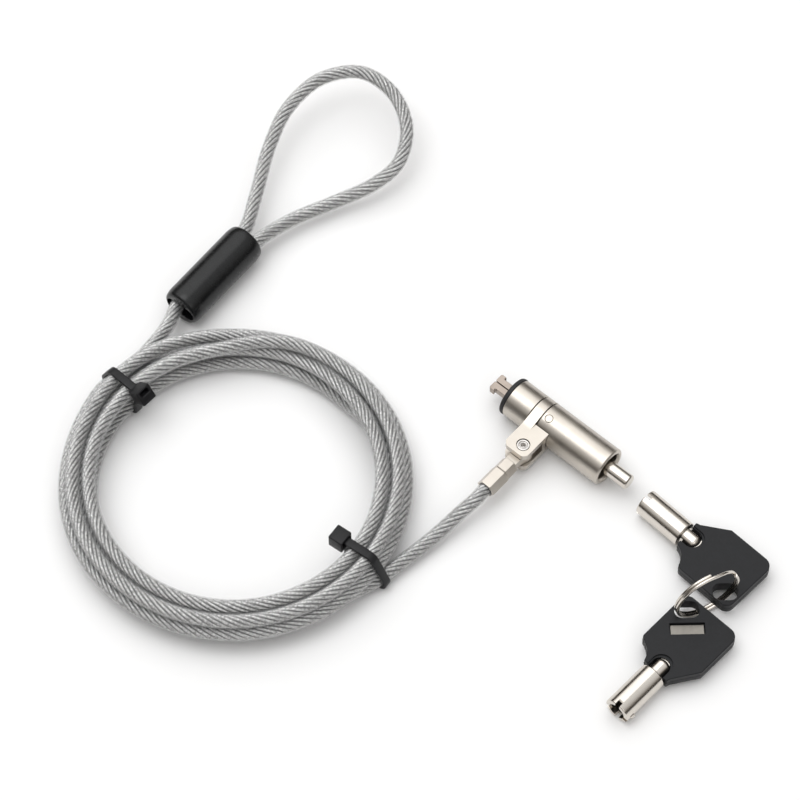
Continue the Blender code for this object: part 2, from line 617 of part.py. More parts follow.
# --- keys -----------------------------------------------------------------------------------------
def bow_outline():
    """Key bow seen from above: a narrow neck, one thumb scoop, and a broad round-cornered head."""
    end, half = BOW_END / MM, BOW_HALF_WIDTH / MM
    outline = [(BOW_START / MM, -4.4), (16.8, -4.7), (24.4, 0.1 - half)]
    outline += arc((end - 3.0, 3.0 - half), 3.0, -90, 0, 4)
    outline += arc((end - 2.6, half - 2.6), 2.6, 0, 90, 4)
    outline += arc((22.3, half - 1.4), 1.4, 90, 180, 2)
    outline += arc((15.3, 10.0), 5.6, -22, -80, 5)
    return [(x * MM, y * MM) for x, y in outline]


def slanted(name, centre, half, corner, low, high, finish, key, side):
    """Round-cornered block set across the bow's corner."""
    return prism(name, rounded_box(half.x, half.y, corner), low, high, finish, key,
                 location=(centre.x, side * centre.y, 0.0),
                 rotation=(0.0, 0.0, side * CORNER_DIRECTION))


def make_key(number, mouth, yaw, side, finishes):
    """One tubular key. side is +1 or -1: which way the key is turned over."""
    hinge = pivot(f"key_{number}_ring_axis", RING_CENTRE)
    key = pivot(f"key_{number}_axis", mouth - RING_CENTRE, yaw, parent=hinge)
    nickel, plastic, plate = finishes["nickel"], finishes["plastic"], finishes["plate"]

    lip = 0.2 * MM
    profile = [(0.0, KEY_BORE_RADIUS), (0.0, KEY_BARREL_RADIUS - lip), (lip, KEY_BARREL_RADIUS),
               (KEY_BARREL_LENGTH, KEY_BARREL_RADIUS), (KEY_BARREL_LENGTH, KEY_STUB_RADIUS),
               (KEY_STUB_END - 1.4 * MM, KEY_STUB_RADIUS),
               (KEY_STUB_END - 0.4 * MM, KEY_STUB_RADIUS - 0.8 * MM),
               (KEY_STUB_END, KEY_STUB_RADIUS - 1.6 * MM),
               (KEY_STUB_END, 0.0), (KEY_BORE_DEPTH, 0.0), (KEY_BORE_DEPTH, KEY_BORE_RADIUS)]
    barrel = turned(f"key_barrel_{number}", profile, nickel, key, segments=32)
    across, up = KEY_TANG_HALF
    tang = box(f"key_tang_{number}", (KEY_STUB_END - 2 * MM, -across, -up), (KEY_TANG_END, across, up),
               nickel, key)
    join(barrel, tang)
    for angle, depth in zip(KEY_NOTCH_ANGLES, KEY_NOTCH_DEPTHS):
        notch = box(f"key_notch_{number}_{angle:.0f}", (-THROUGH, -KEY_NOTCH_HALF_WIDTH, KEY_NOTCH_INNER),
                    (depth * MM, KEY_NOTCH_HALF_WIDTH, THROUGH), nickel, key,
                    rotation=(math.radians(angle - 90), 0.0, 0.0))
        cut(barrel, notch)

    half = BOW_THICKNESS / 2
    outline = [(x, side * y) for x, y in bow_outline()]
    bow = prism(f"key_bow_{number}", outline, -half, half, plastic, key)
    bevel = bow.modifiers.new("edge", "BEVEL")
    bevel.width = BOW_BEVEL
    bevel.segments = 1
    bevel.limit_method = "ANGLE"
    bevel.angle_limit = math.radians(60)
    pocket_start = BOW_START - 2 * MM
    pocket = [(pocket_start, -POCKET_HALF_WIDTH)]
    pocket += arc((POCKET_END - POCKET_HALF_WIDTH, 0.0), POCKET_HALF_WIDTH, -90, 90, 6)
    pocket += [(pocket_start, POCKET_HALF_WIDTH)]
    cut(bow, prism(f"bow_pocket_{number}", pocket, -THROUGH, THROUGH, plastic, key))
    cut(bow, box(f"tang_hole_{number}", (POCKET_END - 2 * MM, -across - GAP, -up - GAP),
                 (KEY_TANG_END + GAP, across + GAP, up + GAP), plastic, key))
    cut(bow, slanted(f"ring_hole_{number}", RING_HOLE_CENTRE, RING_HOLE_HALF, RING_HOLE_CORNER,
                     -THROUGH, THROUGH, plastic, key, side))
    window = Vector((WINDOW_LENGTH / 2, WINDOW_WIDTH / 2))
    window_floor = half - WINDOW_DEPTH
    low, high = sorted((side * window_floor, side * THROUGH))
    cut(bow, slanted(f"bow_window_{number}", WINDOW_CENTRE, window, 0.3 * MM, low, high,
                     plastic, key, side))
    window -= Vector((GAP, GAP))
    plate_floor = window_floor + PLATE_LIFT
    low, high = sorted((side * plate_floor, side * (plate_floor + PLATE_THICKNESS)))
    slanted(f"code_plate_{number}", WINDOW_CENTRE, window, 0.2 * MM, low, high, plate, key, side)


def make_ring(finish):
    """Split ring standing through both bows, as one plain hoop of its two stacked turns."""
    corner = 0.3 * MM
    half_wire, half_stack = RING_WIRE / 2, RING_STACK / 2
    section = [(-half_stack, -half_wire + corner), (-half_stack + corner, -half_wire),
               (half_stack - corner, -half_wire), (half_stack, -half_wire + corner),
               (half_stack, half_wire - corner), (half_stack - corner, half_wire),
               (-half_stack + corner, half_wire), (-half_stack, half_wire - corner)]
    profile = [(along, RING_MEAN_RADIUS + radial) for along, radial in section]
    turned("key_ring", profile, finish, None, segments=40, location=RING_CENTRE,
           rotation=(0.0, 0.0, RING_YAW - math.pi / 2))


def main():
    clear_scene()
    finishes = {
        "jacket": material("clear_jacketed_rope", (0.55, 0.55, 0.56), 0.35, 0.5),
        "black_nylon": material("black_nylon", (0.012, 0.012, 0.013), 0.45, 0.0),
        "sleeve": material("black_sleeve", (0.015, 0.015, 0.016), 0.3, 0.0),
        "crimp": material("crimp_aluminium", (0.7, 0.7, 0.72), 0.4, 1.0),
        "nickel": material("satin_nickel", (0.72, 0.69, 0.65), 0.28, 1.0),
        "hook": material("warm_nickel", (0.66, 0.58, 0.52), 0.35, 1.0),
        "pin": material("pin_steel", (0.6, 0.58, 0.56), 0.35, 1.0),
        "rubber": material("black_rubber", (0.02, 0.02, 0.021), 0.6, 0.0),
        "plastic": material("black_plastic", (0.03, 0.031, 0.034), 0.5, 0.0),
        "plate": material("plate_steel", (0.55, 0.53, 0.49), 0.45, 1.0),
    }
    make_cable(finishes["jacket"])
    make_coil(finishes["jacket"])
    make_tie("cable_tie_upper", UPPER_TIE_ANGLE, math.radians(135), finishes["black_nylon"])
    make_tie("cable_tie_lower", LOWER_TIE_ANGLE, math.radians(160), finishes["black_nylon"])
    make_sleeve(finishes["sleeve"], finishes["crimp"])
    make_ferrule(finishes["nickel"])
    make_lock(finishes)
    make_ring(finishes["nickel"])
    make_key(1, KEY_1_MOUTH, KEY_1_YAW, -1, finishes)
    make_key(2, KEY_2_MOUTH, KEY_2_YAW, 1, finishes)


main()
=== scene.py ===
"""Looks of the laptop cable lock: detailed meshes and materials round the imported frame.

Lengths are metres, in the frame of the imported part.
"""

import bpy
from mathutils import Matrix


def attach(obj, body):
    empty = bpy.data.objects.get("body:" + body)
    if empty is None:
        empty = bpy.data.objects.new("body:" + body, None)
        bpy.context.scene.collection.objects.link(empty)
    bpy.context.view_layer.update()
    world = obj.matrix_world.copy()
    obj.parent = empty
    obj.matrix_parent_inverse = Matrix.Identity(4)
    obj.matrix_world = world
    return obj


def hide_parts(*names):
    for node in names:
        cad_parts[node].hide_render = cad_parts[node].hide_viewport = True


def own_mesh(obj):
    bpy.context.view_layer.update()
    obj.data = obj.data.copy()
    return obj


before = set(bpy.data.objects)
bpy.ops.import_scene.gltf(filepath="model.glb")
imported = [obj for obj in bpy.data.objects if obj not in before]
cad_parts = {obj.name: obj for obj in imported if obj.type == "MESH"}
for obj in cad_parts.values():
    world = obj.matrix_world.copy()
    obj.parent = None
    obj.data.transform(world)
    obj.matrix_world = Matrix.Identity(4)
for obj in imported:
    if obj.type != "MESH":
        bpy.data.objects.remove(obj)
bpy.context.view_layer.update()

import math

import bmesh
import bpy
from mathutils import Matrix, Vector

MM = 0.001

# --- where things lie, as in part.py ------------------------------------------------------------
NOSE = Vector((-44.3, 24.9, 6.5)) * MM
COIL_CENTRE = Vector((-86.0, -49.5, 0.0)) * MM
SLEEVE_CENTRE = Vector((-139.0, -2.0, 6.4)) * MM
SLEEVE_YAW = math.radians(93.0)
RING_CENTRE = Vector((38.4, 10.1, 10.4)) * MM
RING_YAW = math.radians(68.0)
KEY_1_MOUTH = Vector((4.9, 24.3, 4.1)) * MM
KEY_1_YAW = math.radians(-3.4)
KEY_2_MOUTH = Vector((40.8, -32.0, 4.1)) * MM
KEY_2_YAW = math.radians(87.6)

# --- cable ----------------------------------------------------------------------------------------
CABLE_RADIUS = 2.2 * MM
ROPE_RADIUS = 1.98 * MM
ROPE_LAY = 21.0 * MM
STRANDS = 8
COIL_RADIUS = 45.4 * MM
FLOOR_LAYER = 3.5 * MM              # height of the lowest turns' centreline
LAYER_STEP = 3.8 * MM
COIL_SLOTS = ((3.0, 1), (1.1, 2), (-3.3, 2), (-1.1, 1), (-3.3, 0), (1.1, 0))    # (mm outwards, layer)
COIL_START = 183.0                  # winding angles in degrees, counter-clockwise from above
COIL_END = 2150.0
BULGE_ANGLE = 168.0                 # the coil spreads outwards here, beside the upper tie
BULGE = 1.2 * MM
ROPE_SPACING = 1.25 * MM            # between the points that each mesh follows
JACKET_SPACING = 1.8 * MM
TIES = {"cable_tie_upper": (179.0, 40.0), "cable_tie_lower": (6.0, 0.0)}     # place, tilt of the head

SLEEVE_LENGTH = 31.0 * MM
SLEEVE_RADIUS = 6.2 * MM
SLEEVE_BORE = 5.4 * MM
CRIMP_LENGTH = 17.0 * MM
LEG_OFFSET = 2.5 * MM
TAIL_OFFSET = 1.4 * MM

# --- lock head, along its axis from the front shell's front face -----------------------------------
BODY_RADIUS = 6.0 * MM
NECK_RADIUS = 4.8 * MM
NECK_END = 15.2 * MM
NOSE_BORE = 3.1 * MM
FRONT_SHELL_END = 8.0 * MM
BAND_START = 8.3 * MM
BAND_END = 11.4 * MM
REAR_SHELL_START = 11.7 * MM
REAR_SHELL_END = 35.1 * MM
LUG_START = BAND_START
LUG_END = 16.4 * MM
LUG_REACH = 15.6 * MM
LUG_HALF_HEIGHT = 4.0 * MM
RIVET_ALONG = 13.1 * MM
RIVET_REACH = 12.3 * MM
JAW_PIVOT = (11.0 * MM, 1.45 * MM)
DOWEL_TILT = math.radians(16.0)
PIN_ANGLES = (90.0, 195.0, 265.0, 340.0)
PIN_CIRCLE = 3.12 * MM               # the tumbler pins lie on a circle of this radius
RETURN_SPRING = {"start": 12.9 * MM, "end": 19.8 * MM, "radius": 3.5 * MM, "wire": 0.3 * MM, "turns": 5.0}
PIN_SPRING = {"start": 22.7 * MM, "end": 24.3 * MM, "radius": 0.3 * MM, "wire": 0.1 * MM, "turns": 2.0}
GAP = 0.3 * MM

# --- keys, along each key from its mouth ---------------------------------------------------------
KEY_BORE = 2.65 * MM
KEY_RADIUS = 4.0 * MM
KEY_LENGTH = 15.3 * MM
KEY_NOTCH_DEPTHS = (1.9, 1.0, 1.5, 0.8)
BOW_HALF = 2.0 * MM
RING_HOLE = (36.2, 6.2)             # millimetres from the mouth along and across the key
WINDOW = (31.9, 2.2)
RING_RADIUS = 9.6 * MM
RING_PITCH = 0.92 * MM              # between the split ring's two turns

CAMERA_TARGET = Vector((-0.07155, 0.00497, 0.0))
CAMERA_AZIMUTH = math.radians(41.4)
CAMERA_ELEVATION = math.radians(59.7)
CAMERA_DISTANCE = 1.0
FOCAL_LENGTH = 153.9                # millimetres, on a 36 mm sensor


# --- materials --------------------------------------------------------------------------------------
class Nodes:
    """A material's node tree, with short calls for adding and joining nodes."""

    def __init__(self, name):
        self.material = bpy.data.materials.new(name)
        self.material.use_nodes = True
        self.tree = self.material.node_tree
        self.shader = self.tree.nodes["Principled BSDF"]
        self.output = self.tree.nodes["Material Output"]

    def add(self, kind, **settings):
        node = self.tree.nodes.new("ShaderNode" + kind)
        for key, value in settings.items():
            setattr(node, key, value)
        return node

    def join(self, source, target):
        self.tree.links.new(source, target)

    def coordinates(self, scale=(1, 1, 1), kind="Object"):
        place = self.add("TexCoord")
        mapping = self.add("Mapping")
        mapping.inputs["Scale"].default_value = scale
        self.join(place.outputs[kind], mapping.inputs["Vector"])
        return mapping.outputs["Vector"]

    def noise(self, vector, scale, detail=3.0, roughness=0.55):
        node = self.add("TexNoise")
        node.inputs["Scale"].default_value = scale
        node.inputs["Detail"].default_value = detail
        node.inputs["Roughness"].default_value = roughness
        self.join(vector, node.inputs["Vector"])
        return node.outputs["Fac"]

    def spread(self, value, low, high, start=0.3, end=0.7):
        node = self.add("MapRange")
        node.inputs["From Min"].default_value = start
        node.inputs["From Max"].default_value = end
        node.inputs["To Min"].default_value = low
        node.inputs["To Max"].default_value = high
        self.join(value, node.inputs["Value"])
        return node.outputs["Result"]

    def mixed(self, factor, colour_a, colour_b):
        node = self.add("Mix", data_type="RGBA")
        node.inputs["A"].default_value = (*colour_a, 1.0)
        node.inputs["B"].default_value = (*colour_b, 1.0)
        self.join(factor, node.inputs["Factor"])
        return node.outputs["Result"]

    def bump(self, height, distance, strength=1.0):
        node = self.add("Bump")
        node.inputs["Strength"].default_value = strength
        node.inputs["Distance"].default_value = distance
        self.join(height, node.inputs["Height"])
        previous = self.shader.inputs["Normal"]
        if previous.is_linked:
            self.join(previous.links[0].from_socket, node.inputs["Normal"])
        self.join(node.outputs["Normal"], previous)

    def plain(self, **values):
        for key, value in values.items():
            self.shader.inputs[key.replace("_", " ")].default_value = value


def metal(name, colour, dark, roughness, grain, across=(1, 1, 1)):
    """Plated or bare metal: fine machining lines, uneven gloss and slightly clouded colour."""
    m = Nodes(name)
    m.plain(Metallic=1.0)
    lines = m.noise(m.coordinates(across), grain, 4.0, 0.6)
    cloud = m.noise(m.coordinates(), 90.0, 4.0, 0.6)
    smudge = m.noise(m.coordinates(), 260.0, 5.0, 0.65)
    m.join(m.mixed(m.spread(cloud, 0.0, 1.0), dark, colour), m.shader.inputs["Base Color"])
    gloss = m.add("Math", operation="ADD")
    m.join(m.spread(lines, roughness * 0.8, roughness * 1.1), gloss.inputs[0])
    m.join(m.spread(smudge, 0.0, roughness * 0.3), gloss.inputs[1])
    m.join(gloss.outputs["Value"], m.shader.inputs["Roughness"])
    m.bump(lines, 0.006 * MM, 0.7)
    return m.material


def black_moulding(name, colour, roughness, grain, depth, coat=0.0, gloss=0.5):
    """Moulded plastic, vinyl or rubber with a fine texture and faint handling marks."""
    m = Nodes(name)
    m.plain(Metallic=0.0, Coat_Weight=coat, Coat_Roughness=0.2, Specular_IOR_Level=gloss)
    fine = m.noise(m.coordinates(), grain, 3.0, 0.6)
    marks = m.noise(m.coordinates((1, 1, 0.4)), 320.0, 5.0, 0.7)
    lighter = tuple(c * 1.5 + 0.004 for c in colour)
    m.join(m.mixed(m.spread(marks, 0.0, 1.0, 0.4, 0.8), colour, lighter), m.shader.inputs["Base Color"])
    m.join(m.spread(marks, roughness * 0.85, roughness * 1.2), m.shader.inputs["Roughness"])
    m.bump(fine, depth)
    return m.material


def rope_material():
    """Bright twisted steel with painted shade in the grooves between the strands and between the fine wires,
    which are laid against the twist.
    """
    m = Nodes("steel_rope")
    m.plain(Metallic=0.8)
    place = m.add("UVMap")
    split = m.add("SeparateXYZ")
    m.join(place.outputs["UV"], split.inputs["Vector"])
    strand = m.add("Math", operation="MULTIPLY")
    strand.inputs[1].default_value = STRANDS
    m.join(split.outputs["X"], strand.inputs[0])
    wave = m.add("Math", operation="PINGPONG")
    wave.inputs[1].default_value = 0.5
    m.join(strand.outputs["Value"], wave.inputs[0])
    # painted shade: the colour goes dark in the grooves between the strands
    painted_strand_shade = m.spread(wave.outputs["Value"], 0.0, 1.0, 0.02, 0.2)
    wires = m.add("Math", operation="ADD")
    m.join(split.outputs["X"], wires.inputs[0])
    m.join(split.outputs["Y"], wires.inputs[1])
    turns = m.add("Math", operation="MULTIPLY")
    turns.inputs[1].default_value = 38.0 * math.tau
    m.join(wires.outputs["Value"], turns.inputs[0])
    ripple = m.add("Math", operation="SINE")
    m.join(turns.outputs["Value"], ripple.inputs[0])
    wire = m.spread(ripple.outputs["Value"], 0.0, 1.0, -1.0, 0.6)
    # painted shade: darker between the fine wires, on top of the painted shade between the strands
    shade = m.add("Math", operation="MULTIPLY")
    m.join(painted_strand_shade, shade.inputs[0])
    m.join(m.spread(wire, 0.72, 1.0, 0.0, 1.0), shade.inputs[1])
    # random flecks of darker tone, multiplied into the painted shade
    shade_and_flecks = m.add("Math", operation="MULTIPLY")
    m.join(shade.outputs["Value"], shade_and_flecks.inputs[0])
    m.join(m.spread(m.noise(m.coordinates(), 1900.0, 2.0, 0.7), 0.3, 1.0, 0.36, 0.62), shade_and_flecks.inputs[1])
    # the dark colour is the painted shade between strands and wires, the light one is the steel
    m.join(m.mixed(shade_and_flecks.outputs["Value"], (0.1, 0.1, 0.1), (0.78, 0.78, 0.77)),
           m.shader.inputs["Base Color"])
    m.join(m.spread(wire, 0.42, 0.26, 0.0, 1.0), m.shader.inputs["Roughness"])
    m.bump(wire, 0.03 * MM)
    return m.material


def jacket_material():
    """Clear PVC: almost nothing seen head on, a milky glossy rim at grazing angles."""
    m = Nodes("clear_pvc")
    m.plain(Metallic=0.0, IOR=1.5)
    smudge = m.noise(m.coordinates(), 400.0, 4.0, 0.6)
    m.join(m.spread(smudge, 0.1, 0.22), m.shader.inputs["Roughness"])
    m.join(m.mixed(smudge, (0.8, 0.81, 0.82), (0.9, 0.91, 0.92)), m.shader.inputs["Base Color"])
    facing = m.add("LayerWeight")
    facing.inputs["Blend"].default_value = 0.35
    steep = m.add("Math", operation="POWER")
    steep.inputs[1].default_value = 2.2
    m.join(facing.outputs["Facing"], steep.inputs[0])
    share = m.spread(steep.outputs["Value"], 0.05, 0.7, 0.0, 1.0)
    clear = m.add("BsdfTransparent")
    blend = m.add("MixShader")
    m.join(share, blend.inputs["Fac"])
    m.join(clear.outputs["BSDF"], blend.inputs[1])
    m.join(m.shader.outputs["BSDF"], blend.inputs[2])
    m.join(blend.outputs["Shader"], m.output.inputs["Surface"])
    return m.material


def make_materials():
    turned_lines = (60, 1, 1)
    return {
        "jacket": jacket_material(),
        "rope": rope_material(),
        "nylon": black_moulding("black_nylon", (0.007, 0.007, 0.008), 0.4, 9000, 0.01 * MM, 0.0, 0.3),
        "sleeve": black_moulding("black_vinyl", (0.005, 0.0055, 0.006), 0.26, 1500, 0.006 * MM,
                                 0.12, 0.3),
        "rubber": black_moulding("black_rubber", (0.014, 0.014, 0.015), 0.62, 7000, 0.02 * MM),
        "plastic": black_moulding("black_plastic", (0.0085, 0.009, 0.0105), 0.42, 8000, 0.012 * MM,
                                  0.0, 0.26),
        "crimp": metal("aluminium", (0.74, 0.74, 0.76), (0.6, 0.6, 0.62), 0.4, 900),
        "nickel": metal("satin_nickel", (0.57, 0.53, 0.475), (0.5, 0.46, 0.41), 0.3, 300, turned_lines),
        "bright": metal("bright_nickel", (0.7, 0.655, 0.6), (0.63, 0.59, 0.535), 0.17, 300, turned_lines),
        "hook": metal("warm_nickel", (0.43, 0.37, 0.325), (0.31, 0.265, 0.23), 0.32, 900, (1, 30, 1)),
        "pin": metal("pin_steel", (0.7, 0.68, 0.66), (0.6, 0.58, 0.56), 0.3, 400, (1, 1, 40)),
        "plate": metal("plate_steel", (0.34, 0.32, 0.29), (0.2, 0.19, 0.17), 0.42, 900, (1, 40, 1)),
    }


# --- mesh helpers -------------------------------------------------------------------------------------
def arc(centre, radius, start, end, steps):
    """Points of an arc in a plane, from one angle in degrees to another."""
    angles = [math.radians(start + (end - start) * i / steps) for i in range(steps + 1)]
    return [(centre[0] + radius * math.cos(a), centre[1] + radius * math.sin(a)) for a in angles]


def rounded_box(half_width, half_height, corner, steps=6):
    points = []
    for side_x, side_y, start in ((1, 1, 0), (-1, 1, 90), (-1, -1, 180), (1, -1, 270)):
        centre = (side_x * (half_width - corner), side_y * (half_height - corner))
        points += arc(centre, corner, start, start + 90, steps)
    return points


def softened(points, radius, closed=True, steps=4):
    """The outline with each corner replaced by a curve that starts radius before it."""
    made, count = [], len(points)
    for i, point in enumerate(points):
        corner = Vector(point)
        if not closed and i in (0, count - 1):
            made.append(corner)
            continue
        before = Vector(points[i - 1]) - corner
        after = Vector(points[(i + 1) % count]) - corner
        reach = min(radius, before.length * 0.45, after.length * 0.45)
        start = corner + before.normalized() * reach
        end = corner + after.normalized() * reach
        for step in range(steps + 1):
            t = step / steps
            made.append(start * (1 - t) ** 2 + corner * 2 * t * (1 - t) + end * t ** 2)
    return made


def new_object(name, bm, finish):
    bmesh.ops.remove_doubles(bm, verts=bm.verts, dist=0.0005 * MM)
    return shown(name, bm, finish)


def shown(name, bm, finish):
    """A smooth-shaded object in the scene, made of a bmesh that is used up."""
    bmesh.ops.recalc_face_normals(bm, faces=bm.faces)
    mesh = bpy.data.meshes.new(name)
    bm.to_mesh(mesh)
    bm.free()
    mesh.shade_smooth()
    mesh.materials.append(finish)
    made = bpy.data.objects.new(name, mesh)
    bpy.context.scene.collection.objects.link(made)
    return made


def bridge(bm, ring_a, ring_b):
    """Faces between two rings of vertices, either of which may be a single point."""
    count = max(len(ring_a), len(ring_b))
    for i in range(count):
        j = (i + 1) % count
        corners = [ring_a[i % len(ring_a)], ring_a[j % len(ring_a)]]
        corners += [ring_b[j % len(ring_b)], ring_b[i % len(ring_b)]]
        unique = list(dict.fromkeys(corners))
        if len(unique) > 2:
            bm.faces.new(unique)


def turned(name, profile, finish, segments=96, closed=True):
    """Turn (along, radius) points about the local X axis."""
    bm = bmesh.new()
    rings = []
    for along, radius in profile:
        if radius < 1e-7:
            rings.append([bm.verts.new((along, 0.0, 0.0))])
            continue
        angles = [math.tau * i / segments for i in range(segments)]
        rings.append([bm.verts.new((along, radius * math.cos(a), radius * math.sin(a))) for a in angles])
    following = rings[1:] + rings[:1] if closed else rings[1:]
    for ring_a, ring_b in zip(rings, following):
        bridge(bm, ring_a, ring_b)
    return new_object(name, bm, finish)


def prism(name, outline, low, high, finish):
    """Raise an outline of (x, y) points from low to high along local Z."""
    bm = bmesh.new()
    bottom = [bm.verts.new((x, y, low)) for x, y in outline]
    top = [bm.verts.new((x, y, high)) for x, y in outline]
    bridge(bm, bottom, top)
    bm.faces.new(bottom)
    bm.faces.new(top)
    return new_object(name, bm, finish)


def box(name, low, high, finish):
    outline = [(low[0], low[1]), (high[0], low[1]), (high[0], high[1]), (low[0], high[1])]
    return prism(name, outline, low[2], high[2], finish)


def evaluated(piece):
    """Replace a piece's mesh by what its modifiers make of it."""
    bpy.context.view_layer.update()
    graph = bpy.context.evaluated_depsgraph_get()
    mesh = bpy.data.meshes.new_from_object(piece.evaluated_get(graph))
    piece.modifiers.clear()
    piece.data = mesh


def combine(piece, tool, operation="DIFFERENCE"):
    """Cut a tool out of a piece, or join it on, and remove the tool."""
    step = piece.modifiers.new("step", "BOOLEAN")
    step.operation = operation
    step.object = tool
    step.solver = "EXACT"
    evaluated(piece)
    bpy.data.objects.remove(tool)


def soften_edges(piece, width, segments=3, angle=30):
    """Round the sharp edges and keep the flat faces looking flat."""
    edge = piece.modifiers.new("edge", "BEVEL")
    edge.width = width
    edge.segments = segments
    edge.limit_method = "ANGLE"
    edge.angle_limit = math.radians(angle)
    edge.use_clamp_overlap = True
    flat = piece.modifiers.new("flat", "WEIGHTED_NORMAL")
    flat.keep_sharp = True
    evaluated(piece)
    return piece


def keep_flat(piece, area):
    """Shade the faces larger than an area by their own direction."""
    mesh = piece.data
    normals = [corner.vector.copy() for corner in mesh.corner_normals]
    for face in mesh.polygons:
        if face.area > area:
            for corner in face.loop_indices:
                normals[corner] = face.normal.copy()
    mesh.normals_split_custom_set(normals)


def settle(piece, matrix, body, slot, *nodes):
    """Put a finished piece in its place, on its body, in the room of its CAD nodes."""
    piece.matrix_world = matrix
    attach(piece, body)
    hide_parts(*nodes)
    return piece


# --- cable ----------------------------------------------------------------------------------------------
def millimetres(*points):
    return [Vector(p) * MM for p in points]


def smooth(t):
    t = min(max(t, 0.0), 1.0)
    return t * t * (3 - 2 * t)


def coil_point(winding):
    """A point of the coil's centreline. Each turn holds one slot of the stack and moves on to the
    next in the stretch where the coil is one turn thinner, the last turn first."""
    turn, angle = divmod(winding - 180.0, 360.0)
    turn = int(turn)
    first_move = 205.0 + 28.0 * (4 - turn)
    share = smooth((angle - first_move) / 36.0)
    here = COIL_SLOTS[turn]
    following = COIL_SLOTS[min(turn + 1, len(COIL_SLOTS) - 1)]
    radial = (here[0] * (1 - share) + following[0] * share) * MM
    layer = here[1] * (1 - share) + following[1] * share
    around = math.radians(winding)
    loose = 1.0 + 0.13 * abs(math.sin(around)) * (0.6 + 0.4 * math.sin(math.radians(winding * 2)))
    spread_out = max(0.0, math.cos(math.radians(winding - BULGE_ANGLE))) ** 8
    out = COIL_RADIUS + radial * loose + spread_out * (BULGE + radial * 0.35)
    height = FLOOR_LAYER + LAYER_STEP * layer
    return COIL_CENTRE + Vector((out * math.cos(around), out * math.sin(around), height))


def cable_route():
    """The whole cable's centreline: ferrule, lead, coil, tail, sleeve, eye and back to the crimp."""
    axis = Vector((math.cos(SLEEVE_YAW), math.sin(SLEEVE_YAW), 0.0))
    side = Vector((axis.y, -axis.x, 0.0)) * LEG_OFFSET
    mouth = SLEEVE_CENTRE + axis * (SLEEVE_LENGTH / 2 + 1.0 * MM)
    crimp_half = axis * (CRIMP_LENGTH / 2)
    lead = millimetres((-31.2, -1.0, 6.5), (-31.2, -4.2, 6.5), (-31.2, -9.2, 6.4), (-32.0, -14.0, 5.3),
                       (-32.8, -22.0, 4.0), (-33.6, -28.5, 3.5), (-34.5, -34.5, 3.4),
                       (-36.4, -46.0, 3.4))
    step = 7.5
    count = round((COIL_END - COIL_START) / step)
    coil = [coil_point(COIL_END + (COIL_START - COIL_END) * i / count) for i in range(count + 1)]
    tail = millimetres((-135.1, -40.2, 6.9), (-136.0, -29.3, 6.5), (-136.5, -26.4, 6.35),
                       (-137.5, -22.4, 6.3))
    low_mouth = SLEEVE_CENTRE - axis * (SLEEVE_LENGTH / 2) - side.normalized() * TAIL_OFFSET
    crimp = [low_mouth, SLEEVE_CENTRE - crimp_half - side, SLEEVE_CENTRE - side, mouth - side]
    eye = millimetres((-148.2, 26.5, 7.4), (-156.0, 41.0, 9.5), (-160.4, 54.5, 11.8),
                      (-159.4, 68.0, 13.4), (-151.7, 77.8, 13.8), (-140.2, 79.0, 13.0),
                      (-129.0, 73.2, 11.0), (-123.4, 63.0, 8.4), (-125.0, 53.0, 6.2),
                      (-130.4, 41.0, 4.7), (-135.4, 28.0, 5.0))
    end = [mouth + side, SLEEVE_CENTRE + side, SLEEVE_CENTRE - crimp_half + side]
    return lead + coil + tail + crimp + eye + end


def smooth_route(points, spacing):
    """Evenly spaced points on a Catmull-Rom curve through the route's own points."""
    ends = [points[0] * 2 - points[1]] + points + [points[-1] * 2 - points[-2]]
    fine = []
    for a, b, c, d in zip(ends, ends[1:], ends[2:], ends[3:]):
        span_a, span_b, span_c = ((v - u).length ** 0.5 for u, v in ((a, b), (b, c), (c, d)))
        slope_b = ((b - a) / span_a - (c - a) / (span_a + span_b) + (c - b) / span_b) * span_b
        slope_c = ((c - b) / span_b - (d - b) / (span_b + span_c) + (d - c) / span_c) * span_b
        for step in range(16):
            t = step / 16
            fine.append(b * (2 * t ** 3 - 3 * t ** 2 + 1) + slope_b * (t ** 3 - 2 * t ** 2 + t)
                        + c * (3 * t ** 2 - 2 * t ** 3) + slope_c * (t ** 3 - t ** 2))
    fine.append(points[-1])
    lengths = [0.0]
    for a, b in zip(fine, fine[1:]):
        lengths.append(lengths[-1] + (b - a).length)
    count = round(lengths[-1] / spacing)
    route, k = [], 0
    for i in range(count + 1):
        target = lengths[-1] * i / count
        while k < len(fine) - 2 and lengths[k + 1] < target:
            k += 1
        route.append(fine[k].lerp(fine[k + 1], (target - lengths[k]) / (lengths[k + 1] - lengths[k])))
    return route


def carried_frames(route):
    """Two directions across the route at each point, carried along it without twist."""
    frames, across = [], Vector((0.0, 0.0, 1.0))
    for i, point in enumerate(route):
        ahead = (route[min(i + 1, len(route) - 1)] - route[max(i - 1, 0)]).normalized()
        across = (across - ahead * across.dot(ahead)).normalized()
        frames.append((point, across.copy(), ahead.cross(across)))
    return frames


